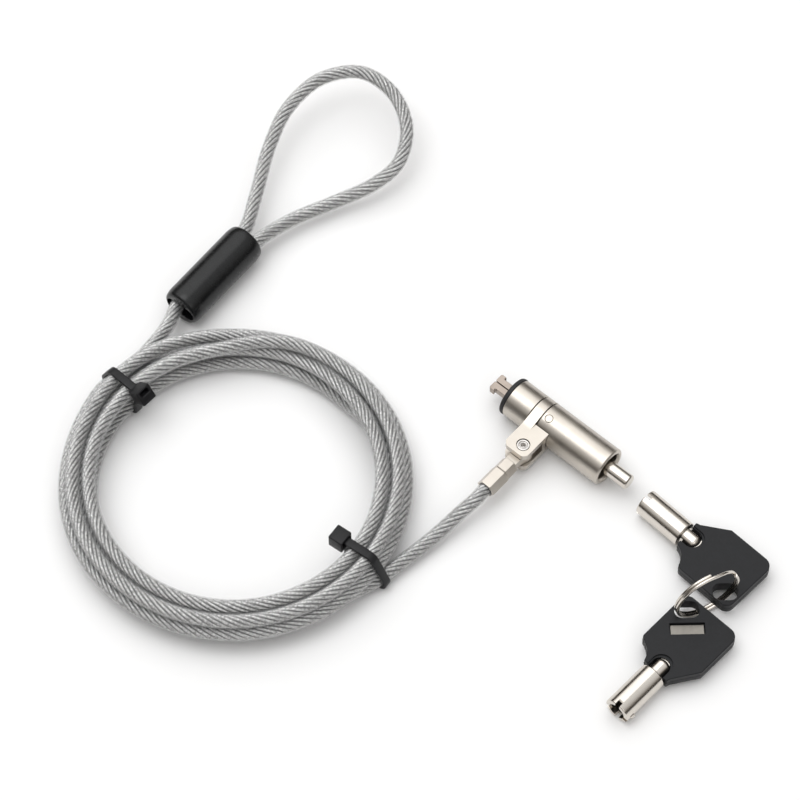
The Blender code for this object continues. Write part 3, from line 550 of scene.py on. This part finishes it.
def sweep(name, route, outline, lay, finish):
    """Sweep an outline of (angle, radius) points along a route, turning once in each lay length."""
    bm = bmesh.new()
    layer = bm.loops.layers.uv.new("UVMap")
    spacing = (route[1] - route[0]).length
    rings = []
    for i, (point, across, beside) in enumerate(carried_frames(route)):
        twist = math.tau * i * spacing / lay if lay else 0.0
        ring = []
        for a, r in outline:
            out = across * math.cos(a + twist) + beside * math.sin(a + twist)
            ring.append(bm.verts.new(point + out * r))
        rings.append(ring)
    sides = len(outline)
    for i, (ring_a, ring_b) in enumerate(zip(rings, rings[1:])):
        for k in range(sides):
            j = (k + 1) % sides
            face = bm.faces.new((ring_a[k], ring_a[j], ring_b[j], ring_b[k]))
            low, high = i * spacing / (lay or 1.0), (i + 1) * spacing / (lay or 1.0)
            for corner, u, v in zip(face.loops, (k, k + 1, k + 1, k), (low, low, high, high)):
                corner[layer].uv = (u / sides, v)
    bm.faces.new(rings[0])
    bm.faces.new(rings[-1])
    return shown(name, bm, finish)


def strand_outline():
    """Round strands side by side in a ring, as (angle, radius) points of their common outline."""
    half = math.sin(math.pi / STRANDS)
    strand = ROPE_RADIUS * half / (1 + half)
    middle = ROPE_RADIUS - strand
    steps = 5
    points = []
    for i in range(STRANDS * steps):
        off = (i % steps - steps / 2) / steps * math.tau / STRANDS
        depth = strand ** 2 - (middle * math.sin(off)) ** 2
        points.append((math.tau * i / (STRANDS * steps), middle * math.cos(off) + math.sqrt(max(depth, 0.0))))
    return points


def make_cable(finishes):
    points = cable_route()
    rope_route = smooth_route(points, ROPE_SPACING)
    rope = sweep("cable_rope", rope_route, strand_outline(), ROPE_LAY, finishes["rope"])
    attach(rope, "cable")
    jacket_route = smooth_route(points, JACKET_SPACING)
    outline = [(math.tau * i / 20, CABLE_RADIUS) for i in range(20)]
    jacket = sweep("cable_jacket", jacket_route, outline, 0.0, finishes["jacket"])
    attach(jacket, "cable")
    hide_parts("cable_coil", "cable_lead", "cable_tail", "cable_eye")
    length = sum((b - a).length for a, b in zip(jacket_route, jacket_route[1:]))
    return jacket, rope, jacket_route, length


def bundle_section(route, angle):
    """Where the cable crosses the upright half-plane at an angle about the coil, as (radial, height)."""
    normal = Vector((-math.sin(angle), math.cos(angle), 0.0))
    outwards = Vector((math.cos(angle), math.sin(angle), 0.0))
    found = []
    for a, b in zip(route, route[1:]):
        side_a, side_b = (a - COIL_CENTRE).dot(normal), (b - COIL_CENTRE).dot(normal)
        if side_a * side_b > 0 or side_a == side_b:
            continue
        place = a.lerp(b, side_a / (side_a - side_b)) - COIL_CENTRE
        if 0.7 * COIL_RADIUS < place.dot(outwards) < 1.3 * COIL_RADIUS:
            found.append(Vector((place.dot(outwards), place.z)))
    return found


def make_tie(name, route, angle, tilt, finish):
    """A strap drawn tight round the turns that cross its plane. It runs over the top into the
    ratchet head at the inner upper corner, and its tail is cut flush with the head."""
    centres = bundle_section(route, angle)
    half_width, thickness = 1.25 * MM, 0.9 * MM
    inner = CABLE_RADIUS + 0.05 * MM
    steps = 80

    def hull(direction, radius):
        pull = Vector((math.cos(direction), math.sin(direction)))
        return max(centres, key=lambda c: c.dot(pull)) + pull * radius

    section = softened([(inner, -half_width), (inner + thickness, -half_width),
                        (inner + thickness, half_width), (inner, half_width)], 0.22 * MM, steps=2)
    bm = bmesh.new()
    loops = []
    for radius, across in section:
        outline = [hull(math.tau * i / steps, radius) for i in range(steps)]
        loops.append([bm.verts.new((x, z, across)) for x, z in outline])
    for loop, following in zip(loops, loops[1:] + loops[:1]):
        bridge(bm, loop, following)
    strap = new_object(name + "_strap", bm, finish)

    top = hull(math.pi / 2, inner)
    back = hull(math.pi, inner + thickness - 0.2 * MM).x
    front = back - 4.7 * MM
    head = box("head", (front, top.y - 3.1 * MM, -2.5 * MM), (back, top.y + 1.8 * MM, 2.5 * MM), finish)
    throat = box("throat", (front - MM, top.y - 0.5 * MM, -1.5 * MM),
                 (back + MM, top.y + 1.05 * MM, 1.5 * MM), finish)
    combine(head, throat)
    soften_edges(head, 0.4 * MM, 3, 50)
    tip_back = Matrix.Translation((back, top.y, 0.0)) @ Matrix.Rotation(-tilt, 4, "Z") \
        @ Matrix.Translation((-back, -top.y, 0.0))
    tail = box("tail", (back - 1.5 * MM, top.y, -half_width), (top.x, top.y + thickness, half_width), finish)
    soften_edges(tail, 0.15 * MM, 2, 50)
    pawl = prism("pawl", [(front + 1.0 * MM, top.y - 0.6 * MM), (back - 0.8 * MM, top.y - 0.6 * MM),
                          (front + 1.4 * MM, top.y + 0.05 * MM)], -1.1 * MM, 1.1 * MM, finish)
    for extra in (head, pawl):
        extra.data.transform(tip_back)
    for extra in (head, tail, pawl):
        combine(strap, extra, "UNION")
    upright = Matrix(((math.cos(angle), 0.0, -math.sin(angle), COIL_CENTRE.x),
                      (math.sin(angle), 0.0, math.cos(angle), COIL_CENTRE.y),
                      (0.0, 1.0, 0.0, COIL_CENTRE.z), (0.0, 0.0, 0.0, 1.0)))
    settle(strap, upright, "cable", "black_nylon", name)
    return strap


def make_sleeve(finishes):
    """Moulded black boot with closed-in mouths, over the pressed crimp that joins the two legs."""
    place = Matrix.Translation(SLEEVE_CENTRE) @ Matrix.Rotation(SLEEVE_YAW, 4, "Z")
    lengthwise = Matrix.Rotation(math.pi / 2, 4, "Z") @ Matrix.Rotation(math.pi / 2, 4, "X")
    half = SLEEVE_LENGTH / 2
    outer = softened([(-half, 0.0), (-half, SLEEVE_RADIUS - 0.5 * MM), (-half + 2.2 * MM, SLEEVE_RADIUS),
                      (half - 2.2 * MM, SLEEVE_RADIUS), (half, SLEEVE_RADIUS - 0.5 * MM), (half, 0.0)],
                     1.3 * MM, closed=False, steps=10)
    sleeve = turned("sleeve_moulding", outer, finishes["sleeve"], closed=False)
    room = turned("room", [(-half + 3.5 * MM, 0.0), (-half + 3.5 * MM, SLEEVE_BORE),
                           (half - 3.5 * MM, SLEEVE_BORE), (half - 3.5 * MM, 0.0)],
                  finishes["sleeve"], 48, closed=False)
    combine(sleeve, room)
    mouths = prism("mouths", rounded_box(5.0 * MM, 2.5 * MM, 2.4 * MM, 10), -half - MM, half + MM,
                   finishes["sleeve"])
    mouths.data.transform(lengthwise)
    combine(sleeve, mouths)
    soften_edges(sleeve, 0.3 * MM, 3, 45)
    settle(sleeve, place, "cable", "black_sleeve", "loop_sleeve")

    crimp = prism("crimp_pressing", rounded_box(5.25 * MM, 2.9 * MM, 2.8 * MM, 10),
                  -CRIMP_LENGTH / 2, CRIMP_LENGTH / 2, finishes["crimp"])
    for side in (-1, 1):
        bore = prism("bore", arc((side * LEG_OFFSET, 0.0), CABLE_RADIUS + 0.03 * MM, 0, 351, 39),
                     -CRIMP_LENGTH, CRIMP_LENGTH, finishes["crimp"])
        combine(crimp, bore)
    soften_edges(crimp, 0.2 * MM)
    crimp.data.transform(lengthwise)
    settle(crimp, place, "cable", "crimp_aluminium", "loop_crimp")
    return sleeve, crimp


# --- lock head --------------------------------------------------------------------------------------------
LOCK = Matrix.Translation(NOSE)
RIVET = Matrix.Translation(NOSE + Vector((RIVET_ALONG, -RIVET_REACH, 0.0)))
UPRIGHT = Matrix.Rotation(-math.pi / 2, 4, "Y")


def in_mm(*points):
    return [(a * MM, b * MM) for a, b in points]


def rod(start, end, radius, finish, turn=None, segments=48):
    made = turned("rod", [(start, 0.0), (start, radius), (end, radius), (end, 0.0)], finish,
                  segments, closed=False)
    if turn:
        made.data.transform(turn)
    return made


def upright_rod(low, high, radius, x, y, finish):
    return rod(low, high, radius, finish, Matrix.Translation((x, y, 0.0)) @ UPRIGHT, 40)


def make_ferrule(finishes):
    """A flat eye for the rivet, then a hexagon pressed on the cable, slightly stepped."""
    finish = finishes["nickel"]
    outline = in_mm(*arc((0.0, 0.0), 2.8, 62, 298, 28), (3.7, -1.8), (6.0, -1.8), (6.0, 1.8), (3.7, 1.8))
    eye = prism("end_ferrule_fitting", outline, -1.6 * MM, 1.6 * MM, finish)
    profile = softened(in_mm((5.5, 0.0), (5.5, 2.8), (9.5, 2.8), (9.9, 3.0), (16.5, 3.0), (16.5, 0.0)),
                       0.25 * MM, closed=False, steps=3)
    combine(eye, turned("hexagon", profile, finish, 6, closed=False), "UNION")
    combine(eye, rod(13.2 * MM, 18 * MM, 2.25 * MM, finish))
    combine(eye, upright_rod(-3 * MM, 3 * MM, 1.5 * MM, 0.0, 0.0, finish))
    soften_edges(eye, 0.14 * MM, 2, 28)
    settle(eye, RIVET @ Matrix.Rotation(-math.pi / 2, 4, "Z"), "cable", "satin_nickel", "end_ferrule")


def make_collar(finishes):
    """Band round the neck that runs smoothly into a slotted lug, with the rivet in its seat."""
    finish = finishes["nickel"]
    bore = NECK_RADIUS + GAP
    band = turned("collar_band", [(BAND_START, bore), (BAND_START, BODY_RADIUS), (BAND_END, BODY_RADIUS),
                                  (BAND_END, bore)], finish)
    corner, reach = 1.2 * MM, LUG_REACH
    outline = [(LUG_START, -4.6 * MM), (LUG_START, corner - reach), (LUG_START + corner, -reach),
               (LUG_END - corner, -reach), (LUG_END, corner - reach), (LUG_END, -4.6 * MM)]
    lug = prism("lug", softened(outline, 0.5 * MM, closed=False, steps=4), -LUG_HALF_HEIGHT,
                LUG_HALF_HEIGHT, finish)
    combine(lug, rod(BAND_END - 0.01 * MM, LUG_END + MM, BODY_RADIUS + GAP, finish, None, 96))
    upper = softened(in_mm((-2.05, 5.64), (-6.56, 4.0), (-8.8, 4.0)), 2.1 * MM, closed=False, steps=8)
    blend_outline = [tuple(v) for v in upper] + [(y, -z) for y, z in reversed(upper)]
    blend = prism("blend", blend_outline, BAND_START, BAND_END, finish)
    blend.data.transform(Matrix(((0, 0, 1, 0), (1, 0, 0, 0), (0, 1, 0, 0), (0, 0, 0, 1))))
    combine(band, lug, "UNION")
    combine(band, blend, "UNION")
    combine(band, rod(0.0, REAR_SHELL_END, bore, finish, None, 96))
    combine(band, box("slot", (0.0, -20 * MM, -1.9 * MM), (25 * MM, -7.5 * MM, 1.9 * MM), finish))
    combine(band, upright_rod(-6 * MM, 6 * MM, 1.6 * MM, RIVET_ALONG, -RIVET_REACH, finish))
    combine(band, upright_rod(2.9 * MM, 6 * MM, 2.05 * MM, RIVET_ALONG, -RIVET_REACH, finish))
    soften_edges(band, 0.18 * MM, 3, 32)
    keep_flat(band, 3 * MM ** 2)
    settle(band, LOCK, "collar", "satin_nickel", "swivel_collar")

    profile = softened(in_mm((-4.0, 0.0), (-4.0, 1.3), (3.2, 1.3), (3.2, 1.8), (3.9, 1.8), (3.9, 1.35),
                             (3.5, 1.25), (3.5, 1.0), (3.8, 0.95), (3.8, 0.7), (1.9, 0.7), (1.9, 0.0)),
                       0.12 * MM, closed=False, steps=3)
    rivet = turned("clevis_rivet_head", profile, finishes["pin"], 64, closed=False)
    settle(rivet, RIVET @ UPRIGHT, "collar", "pin_steel", "clevis_rivet")


def make_shells(finishes):
    """The two halves of the barrel, the rubber pad on its face, and the dowel that pins them."""
    finish = finishes["nickel"]
    profile = softened([(0.0, NOSE_BORE), (0.0, BODY_RADIUS), (FRONT_SHELL_END, BODY_RADIUS),
                        (FRONT_SHELL_END, NECK_RADIUS), (NECK_END, NECK_RADIUS), (NECK_END, 4.15 * MM),
                        (12.7 * MM, 4.15 * MM), (12.7 * MM, NOSE_BORE)], 0.18 * MM, steps=3)
    front = turned("front_shell_casting", profile, finish, 128)
    profile = softened([(REAR_SHELL_START, NECK_RADIUS + GAP), (REAR_SHELL_START, BODY_RADIUS),
                        (34.7 * MM, BODY_RADIUS), (REAR_SHELL_END, 5.6 * MM), (REAR_SHELL_END, 4.9 * MM),
                        (34.5 * MM, 4.3 * MM), (30.0 * MM, 4.3 * MM), (30.0 * MM, 5.1 * MM),
                        (15.5 * MM, 5.1 * MM), (15.5 * MM, NECK_RADIUS + GAP)], 0.16 * MM, steps=3)
    rear = turned("rear_shell_casting", profile, finish, 128)
    tilt = Matrix.Translation((13.7 * MM, 0.0, 0.0)) @ Matrix.Rotation(DOWEL_TILT, 4, "X") @ UPRIGHT
    for shell in (front, rear):
        combine(shell, rod(4.0 * MM, 8.0 * MM, 1.27 * MM, finish, tilt))
    for side in (-1, 1):
        combine(front, upright_rod(-6 * MM, 6 * MM, 0.6 * MM, JAW_PIVOT[0], side * JAW_PIVOT[1], finish))
    for turn in (60, 180, 300):
        way = box("keyway", (30.5 * MM, -0.75 * MM, 0.0), (36 * MM, 0.75 * MM, 4.85 * MM), finish)
        way.data.transform(Matrix.Rotation(math.radians(turn), 4, "X"))
        combine(rear, way)
    for shell, node in ((front, "front_shell"), (rear, "rear_shell")):
        soften_edges(shell, 0.08 * MM, 2, 40)
        settle(shell, LOCK, "head", "satin_nickel", node)

    profile = softened(in_mm((-1.4, 3.2), (-1.4, 5.85), (-0.9, 6.1), (-0.05, 6.1), (-0.05, 3.2)),
                       0.2 * MM, steps=4)
    pad = turned("nose_pad_ring", profile, finishes["rubber"])
    settle(pad, LOCK, "head", "black_rubber", "nose_pad")
    profile = softened(in_mm((4.35, 0.0), (4.35, 1.15), (5.98, 1.15), (5.98, 0.0)), 0.1 * MM, False, 3)
    dowel = turned("shell_dowel_pin", profile, finishes["nickel"], 48, closed=False)
    settle(dowel, LOCK @ tilt, "head", "pin_steel", "shell_dowel")


def make_jaws(finishes):
    """Two hooked bars side by side with a slit between them, opened by the wedge."""
    outline = in_mm((12.2, 0.6), (1.9, 0.6), (1.3, 0.12), (-7.5, 0.12), (-7.8, 0.4), (-7.8, 2.5),
                    (-7.5, 2.9), (-6.1, 2.9), (-5.85, 2.65), (-6.15, 2.3), (-5.95, 2.05), (8.6, 2.05),
                    (9.3, 2.3), (12.2, 2.3))
    for name, side in (("left", 1), ("right", -1)):
        jaw = prism(f"jaw_{name}_hook", [(x, side * y) for x, y in outline], -1.2 * MM, 1.2 * MM,
                    finishes["hook"])
        combine(jaw, upright_rod(-3 * MM, 3 * MM, 0.6 * MM, JAW_PIVOT[0], side * JAW_PIVOT[1],
                                 finishes["hook"]))
        soften_edges(jaw, 0.16 * MM, 3, 25)
        settle(jaw, LOCK, "jaw_" + name, "warm_nickel", "jaw_" + name)


def make_core(finishes):
    """The turning core and its long polished post, which the keys fit over."""
    finish = finishes["bright"]
    profile = softened(in_mm((21.6, 0.0), (21.6, 3.9), (27.2, 3.9), (27.2, 2.35), (42.35, 2.35),
                             (42.7, 2.0), (42.7, 0.0)), 0.12 * MM, closed=False, steps=3)
    core = turned("lock_core_post", profile, finish, 96, closed=False)
    for angle in PIN_ANGLES:
        a = math.radians(angle)
        move = Matrix.Translation((0.0, PIN_CIRCLE * math.cos(a), PIN_CIRCLE * math.sin(a)))
        combine(core, rod(22.6 * MM, 30 * MM, 0.58 * MM, finish, move, 20))
    soften_edges(core, 0.06 * MM, 2, 40)
    settle(core, LOCK, "core", "satin_nickel", "lock_core")


def make_spring(node, body, size, centre, finish):
    """A coil spring along the lock's axis, given its own copy of its mesh."""
    start, end, radius, wire, turns = (size[key] for key in ("start", "end", "radius", "wire", "turns"))
    steps, sides = round(turns * 28), 10
    low, high = start + wire, end - wire
    bm = bmesh.new()
    rings = []
    for i in range(steps + 1):
        angle = math.tau * turns * i / steps
        out = Vector((0.0, math.cos(angle), math.sin(angle)))
        middle = out * radius + Vector((low + (high - low) * i / steps, 0.0, 0.0))
        around = [math.tau * k / sides for k in range(sides)]
        rings.append([bm.verts.new(middle + (out * math.cos(a) + Vector((1, 0, 0)) * math.sin(a)) * wire)
                      for a in around])
    for ring_a, ring_b in zip(rings, rings[1:]):
        bridge(bm, ring_a, ring_b)
    bm.faces.new(rings[0])
    bm.faces.new(rings[-1])
    coil = new_object(node + "_coil", bm, finish)
    settle(coil, LOCK @ Matrix.Translation(centre), body, "pin_steel", node)
    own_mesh(coil)


def make_springs(finishes):
    make_spring("return_spring", "head", RETURN_SPRING,
                Vector((0, 0, 0)), finishes["pin"])
    for number, angle in enumerate(PIN_ANGLES, 1):
        a = math.radians(angle)
        centre = Vector((0.0, PIN_CIRCLE * math.cos(a), PIN_CIRCLE * math.sin(a)))
        make_spring(f"pin_spring_{number}", "core", PIN_SPRING,
                    centre, finishes["pin"])


# --- keys and ring ------------------------------------------------------------------------------------------
def bow_outline(side):
    outline = [(15.6, -4.4), (16.8, -4.7), (24.4, -9.7)]
    outline += arc((37.3, -6.8), 3.0, -90, 0, 12)
    outline += arc((37.7, 7.2), 2.6, 0, 90, 12)
    outline += arc((22.3, 8.4), 1.4, 90, 180, 8)
    outline += arc((15.3, 10.0), 5.6, -22, -80, 20)
    return [(x * MM, side * y * MM) for x, y in outline]


def grown(outline, step):
    """The outline moved outwards by a small step."""
    made = []
    for i, point in enumerate(outline):
        along = (Vector(outline[(i + 1) % len(outline)]) - Vector(outline[i - 1])).normalized()
        made.append(Vector(point) + Vector((along.y, -along.x)) * step)
    middle = Vector((28 * MM, 0.0))
    shrunk = (made[0] - middle).length < (Vector(outline[0]) - middle).length
    return grown(outline, -step) if shrunk else made


def make_key(number, mouth, yaw, side, finishes):
    """One tubular key: notched barrel with a guide nib, round stub, and a moulded bow."""
    place = Matrix.Translation(mouth) @ Matrix.Rotation(yaw, 4, "Z")
    body = f"key_{number}"
    finish, plastic, plate = finishes["bright"], finishes["plastic"], finishes["plate"]
    outer = [(0.0, KEY_BORE), (0.0, KEY_RADIUS), (KEY_LENGTH, KEY_RADIUS)]
    stub = in_mm((15.3, 2.5), (19.4, 2.5), (20.3, 1.7), (20.6, 0.9), (20.6, 0.0), (11.0, 0.0))
    profile = softened(outer + stub + [(11.0 * MM, KEY_BORE)], 0.45 * MM, closed=False, steps=4)
    barrel = turned(body + "_barrel", profile, finish, 96)
    combine(barrel, box("tang", (18.6 * MM, -1.5 * MM, -MM), (27.0 * MM, 1.5 * MM, MM), finish), "UNION")
    nib = box("nib", (1.6 * MM, -0.5 * MM, 3.4 * MM), (2.9 * MM, 0.5 * MM, 4.5 * MM), finish)
    nib.data.transform(Matrix.Rotation(math.radians(side * 100), 4, "X"))
    combine(barrel, nib, "UNION")
    for angle, depth in zip(PIN_ANGLES, KEY_NOTCH_DEPTHS):
        notch = box("notch", (-MM, -0.75 * MM, 2.2 * MM), (depth * MM, 0.75 * MM, 5 * MM), finish)
        notch.data.transform(Matrix.Rotation(math.radians(angle - 90), 4, "X"))
        combine(barrel, notch)
    soften_edges(barrel, 0.09 * MM, 2, 40)
    settle(barrel, place, body, "satin_nickel", f"key_barrel_{number}")

    outline = bow_outline(side)
    bow = prism(body + "_bow", outline, -BOW_HALF, BOW_HALF, plastic)
    soften_edges(bow, 0.6 * MM, 5, 60)
    combine(bow, prism("parting", grown(outline, 0.06 * MM), -0.09 * MM, 0.09 * MM, plastic), "UNION")
    pocket = in_mm((14.0, -2.8), *arc((18.1, 0.0), 2.8, -90, 90, 24), (14.0, 2.8))
    combine(bow, prism("pocket", pocket, -5 * MM, 5 * MM, plastic))
    recess = in_mm((14.0, -3.2), *arc((18.6, 0.0), 3.2, -90, 90, 24), (14.0, 3.2))
    for low, high in ((-5.0, -1.45), (1.45, 5.0)):
        combine(bow, prism("recess", recess, low * MM, high * MM, plastic))
    combine(bow, box("tang_hole", (19 * MM, -1.8 * MM, -1.3 * MM), (27.3 * MM, 1.8 * MM, 1.3 * MM), plastic))
    ring_hole = across_corner("ring_hole", RING_HOLE, (3.6, 2.65), 2.3, -5.0, 5.0, plastic, side)
    combine(bow, ring_hole)
    low, high = sorted((side * 0.5, side * 5.0))
    combine(bow, across_corner("window", WINDOW, (5.0, 1.8), 0.3, low, high, plastic, side))
    soften_edges(bow, 0.12 * MM, 2, 50)
    settle(bow, place, body, "black_plastic", f"key_bow_{number}")
    low, high = sorted((side * 0.6, side * 1.1))
    tag = across_corner(body + "_plate", WINDOW, (4.7, 1.5), 0.2, low, high, plate, side)
    soften_edges(tag, 0.06 * MM, 2, 50)
    settle(tag, place, body, "plate_steel", f"code_plate_{number}")


def across_corner(name, centre, half, corner, low, high, finish, side):
    """A round-cornered block set across the bow's corner."""
    made = prism(name, in_mm(*rounded_box(*half, corner, 6)), low * MM, high * MM, finish)
    made.data.transform(Matrix.Translation((centre[0] * MM, side * centre[1] * MM, 0.0))
                        @ Matrix.Rotation(-side * math.pi / 4, 4, "Z"))
    return made


def make_ring(finishes):
    """Split ring of two touching turns: one wire that steps across once, with both cut ends."""
    section = softened(in_mm((0.44, 0.5), (-0.44, 0.5), (-0.44, -0.5), (0.44, -0.5)), 0.4 * MM, steps=4)
    start, turns, steps = 86.0, 1.84, 300
    bm = bmesh.new()
    rings = []
    for i in range(steps + 1):
        turn = turns * i / steps
        angle = math.radians(start + 360 * turn)
        offset = (smooth((turn - 0.84) / 0.15) - 0.5) * RING_PITCH
        ring = []
        for axial, radial in section:
            out = RING_RADIUS + radial
            ring.append(bm.verts.new((offset + axial, out * math.cos(angle), out * math.sin(angle))))
        rings.append(ring)
    for ring_a, ring_b in zip(rings, rings[1:]):
        bridge(bm, ring_a, ring_b)
    bm.faces.new(rings[0])
    bm.faces.new(rings[-1])
    hoop = new_object("split_ring", bm, finishes["bright"])
    soften_edges(hoop, 0.06 * MM, 2, 60)
    settle(hoop, Matrix.Translation(RING_CENTRE) @ Matrix.Rotation(RING_YAW - math.pi / 2, 4, "Z"),
           "key_ring", "satin_nickel", "key_ring")


# --- stage ------------------------------------------------------------------------------------------------
def make_stage():
    m = Nodes("pale_floor")
    grain = m.noise(m.coordinates(), 30.0)
    m.join(m.mixed(grain, (0.95, 0.95, 0.95), (0.97, 0.97, 0.97)), m.shader.inputs["Base Color"])
    m.plain(Roughness=0.7)
    floor = box("floor", (-3.0, -3.0, -0.02), (3.0, 3.0, 0.0), m.material)


# how bright the room is at each height, from level (0) to overhead (1)
WORLD_STOPS = ((0.02, (0.02, 0.02, 0.02)), (0.2, (0.04, 0.035, 0.03)), (0.38, (0.25, 0.23, 0.21)),
               (0.56, (0.58, 0.57, 0.56)), (0.8, (0.84, 0.84, 0.84)))


def area_light(name, azimuth, elevation, distance, size, power, target):
    data = bpy.data.lights.new(name, "AREA")
    data.shape = "DISK"
    data.size = size
    data.energy = power
    lamp = bpy.data.objects.new(name, data)
    a, e = math.radians(azimuth), math.radians(elevation)
    away = Vector((math.sin(a) * math.cos(e), -math.cos(a) * math.cos(e), math.sin(e)))
    lamp.location = target + away * distance
    lamp.rotation_euler = (-away).to_track_quat("-Z", "Y").to_euler()
    bpy.context.scene.collection.objects.link(lamp)


def make_lights():
    """A broad soft key from above and behind to the left, a weak fill, and a room that is bright
    overhead and dim near the horizon, so that plated metal has something to mirror."""
    middle = Vector((-0.06, 0.0, 0.0))
    area_light("key_light", -112, 62, 1.3, 1.8, 7.5, middle)
    area_light("top_light", -40, 74, 1.4, 1.0, 3.0, middle)
    area_light("fill_light", 70, 35, 1.4, 0.8, 1.2, middle)
    world = bpy.data.worlds.new("pale_room")
    bpy.context.scene.world = world
    world.use_nodes = True
    nodes, links = world.node_tree.nodes, world.node_tree.links
    place = nodes.new("ShaderNodeTexCoord")
    split = nodes.new("ShaderNodeSeparateXYZ")
    links.new(place.outputs["Generated"], split.inputs["Vector"])
    ramp = nodes.new("ShaderNodeValToRGB")
    links.new(split.outputs["Z"], ramp.inputs["Fac"])
    for place_on_ramp, colour in WORLD_STOPS:
        stop = ramp.color_ramp.elements.new(place_on_ramp)
        stop.color = (*colour, 1.0)
    ramp.color_ramp.elements.remove(ramp.color_ramp.elements[0])
    seen = nodes.new("ShaderNodeLightPath")
    blend = nodes.new("ShaderNodeMix")
    blend.data_type = "RGBA"
    links.new(seen.outputs["Is Camera Ray"], blend.inputs["Factor"])
    links.new(ramp.outputs["Color"], blend.inputs["A"])
    blend.inputs["B"].default_value = (0.95, 0.95, 0.95, 1.0)
    background = nodes["Background"]
    links.new(blend.outputs["Result"], background.inputs["Color"])
    background.inputs["Strength"].default_value = 1.0
    bpy.context.scene.view_settings.view_transform = "Standard"


def make_camera():
    data = bpy.data.cameras.new("camera")
    data.lens = FOCAL_LENGTH
    data.sensor_width = 36.0
    data.clip_start = 0.01
    camera = bpy.data.objects.new("camera", data)
    a, e = CAMERA_AZIMUTH, CAMERA_ELEVATION
    away = Vector((math.sin(a) * math.cos(e), -math.cos(a) * math.cos(e), math.sin(e)))
    camera.location = CAMERA_TARGET + away * CAMERA_DISTANCE
    camera.rotation_euler = (math.pi / 2 - e, 0.0, a)
    bpy.context.scene.collection.objects.link(camera)
    bpy.context.scene.camera = camera


CAD_FINISHES = {
    "jaw_pin_left": "pin", "jaw_pin_right": "pin",
    "plunger_carrier": "hook", "spreader_blade": "hook",
}


def dress_cad_nodes(finishes):
    """Give the CAD nodes that stay in view their material."""
    chosen = dict(CAD_FINISHES)
    for number in range(1, 5):
        chosen[f"tumbler_pin_{number}"] = "pin"
    for node, finish in chosen.items():
        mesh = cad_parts[node].data
        mesh.materials.clear()
        mesh.materials.append(finishes[finish])


def main():
    make_camera()
    make_lights()
    make_stage()
    finishes = make_materials()
    dress_cad_nodes(finishes)
    jacket, rope, route, length = make_cable(finishes)
    sleeve, crimp = make_sleeve(finishes)
    make_ferrule(finishes)
    make_collar(finishes)
    make_shells(finishes)
    make_jaws(finishes)
    make_core(finishes)
    make_springs(finishes)
    make_key(1, KEY_1_MOUTH, KEY_1_YAW, -1, finishes)
    make_key(2, KEY_2_MOUTH, KEY_2_YAW, 1, finishes)
    make_ring(finishes)
    ties = [make_tie(name, route, math.radians(angle), math.radians(tilt), finishes["nylon"])
            for name, (angle, tilt) in TIES.items()]


main()
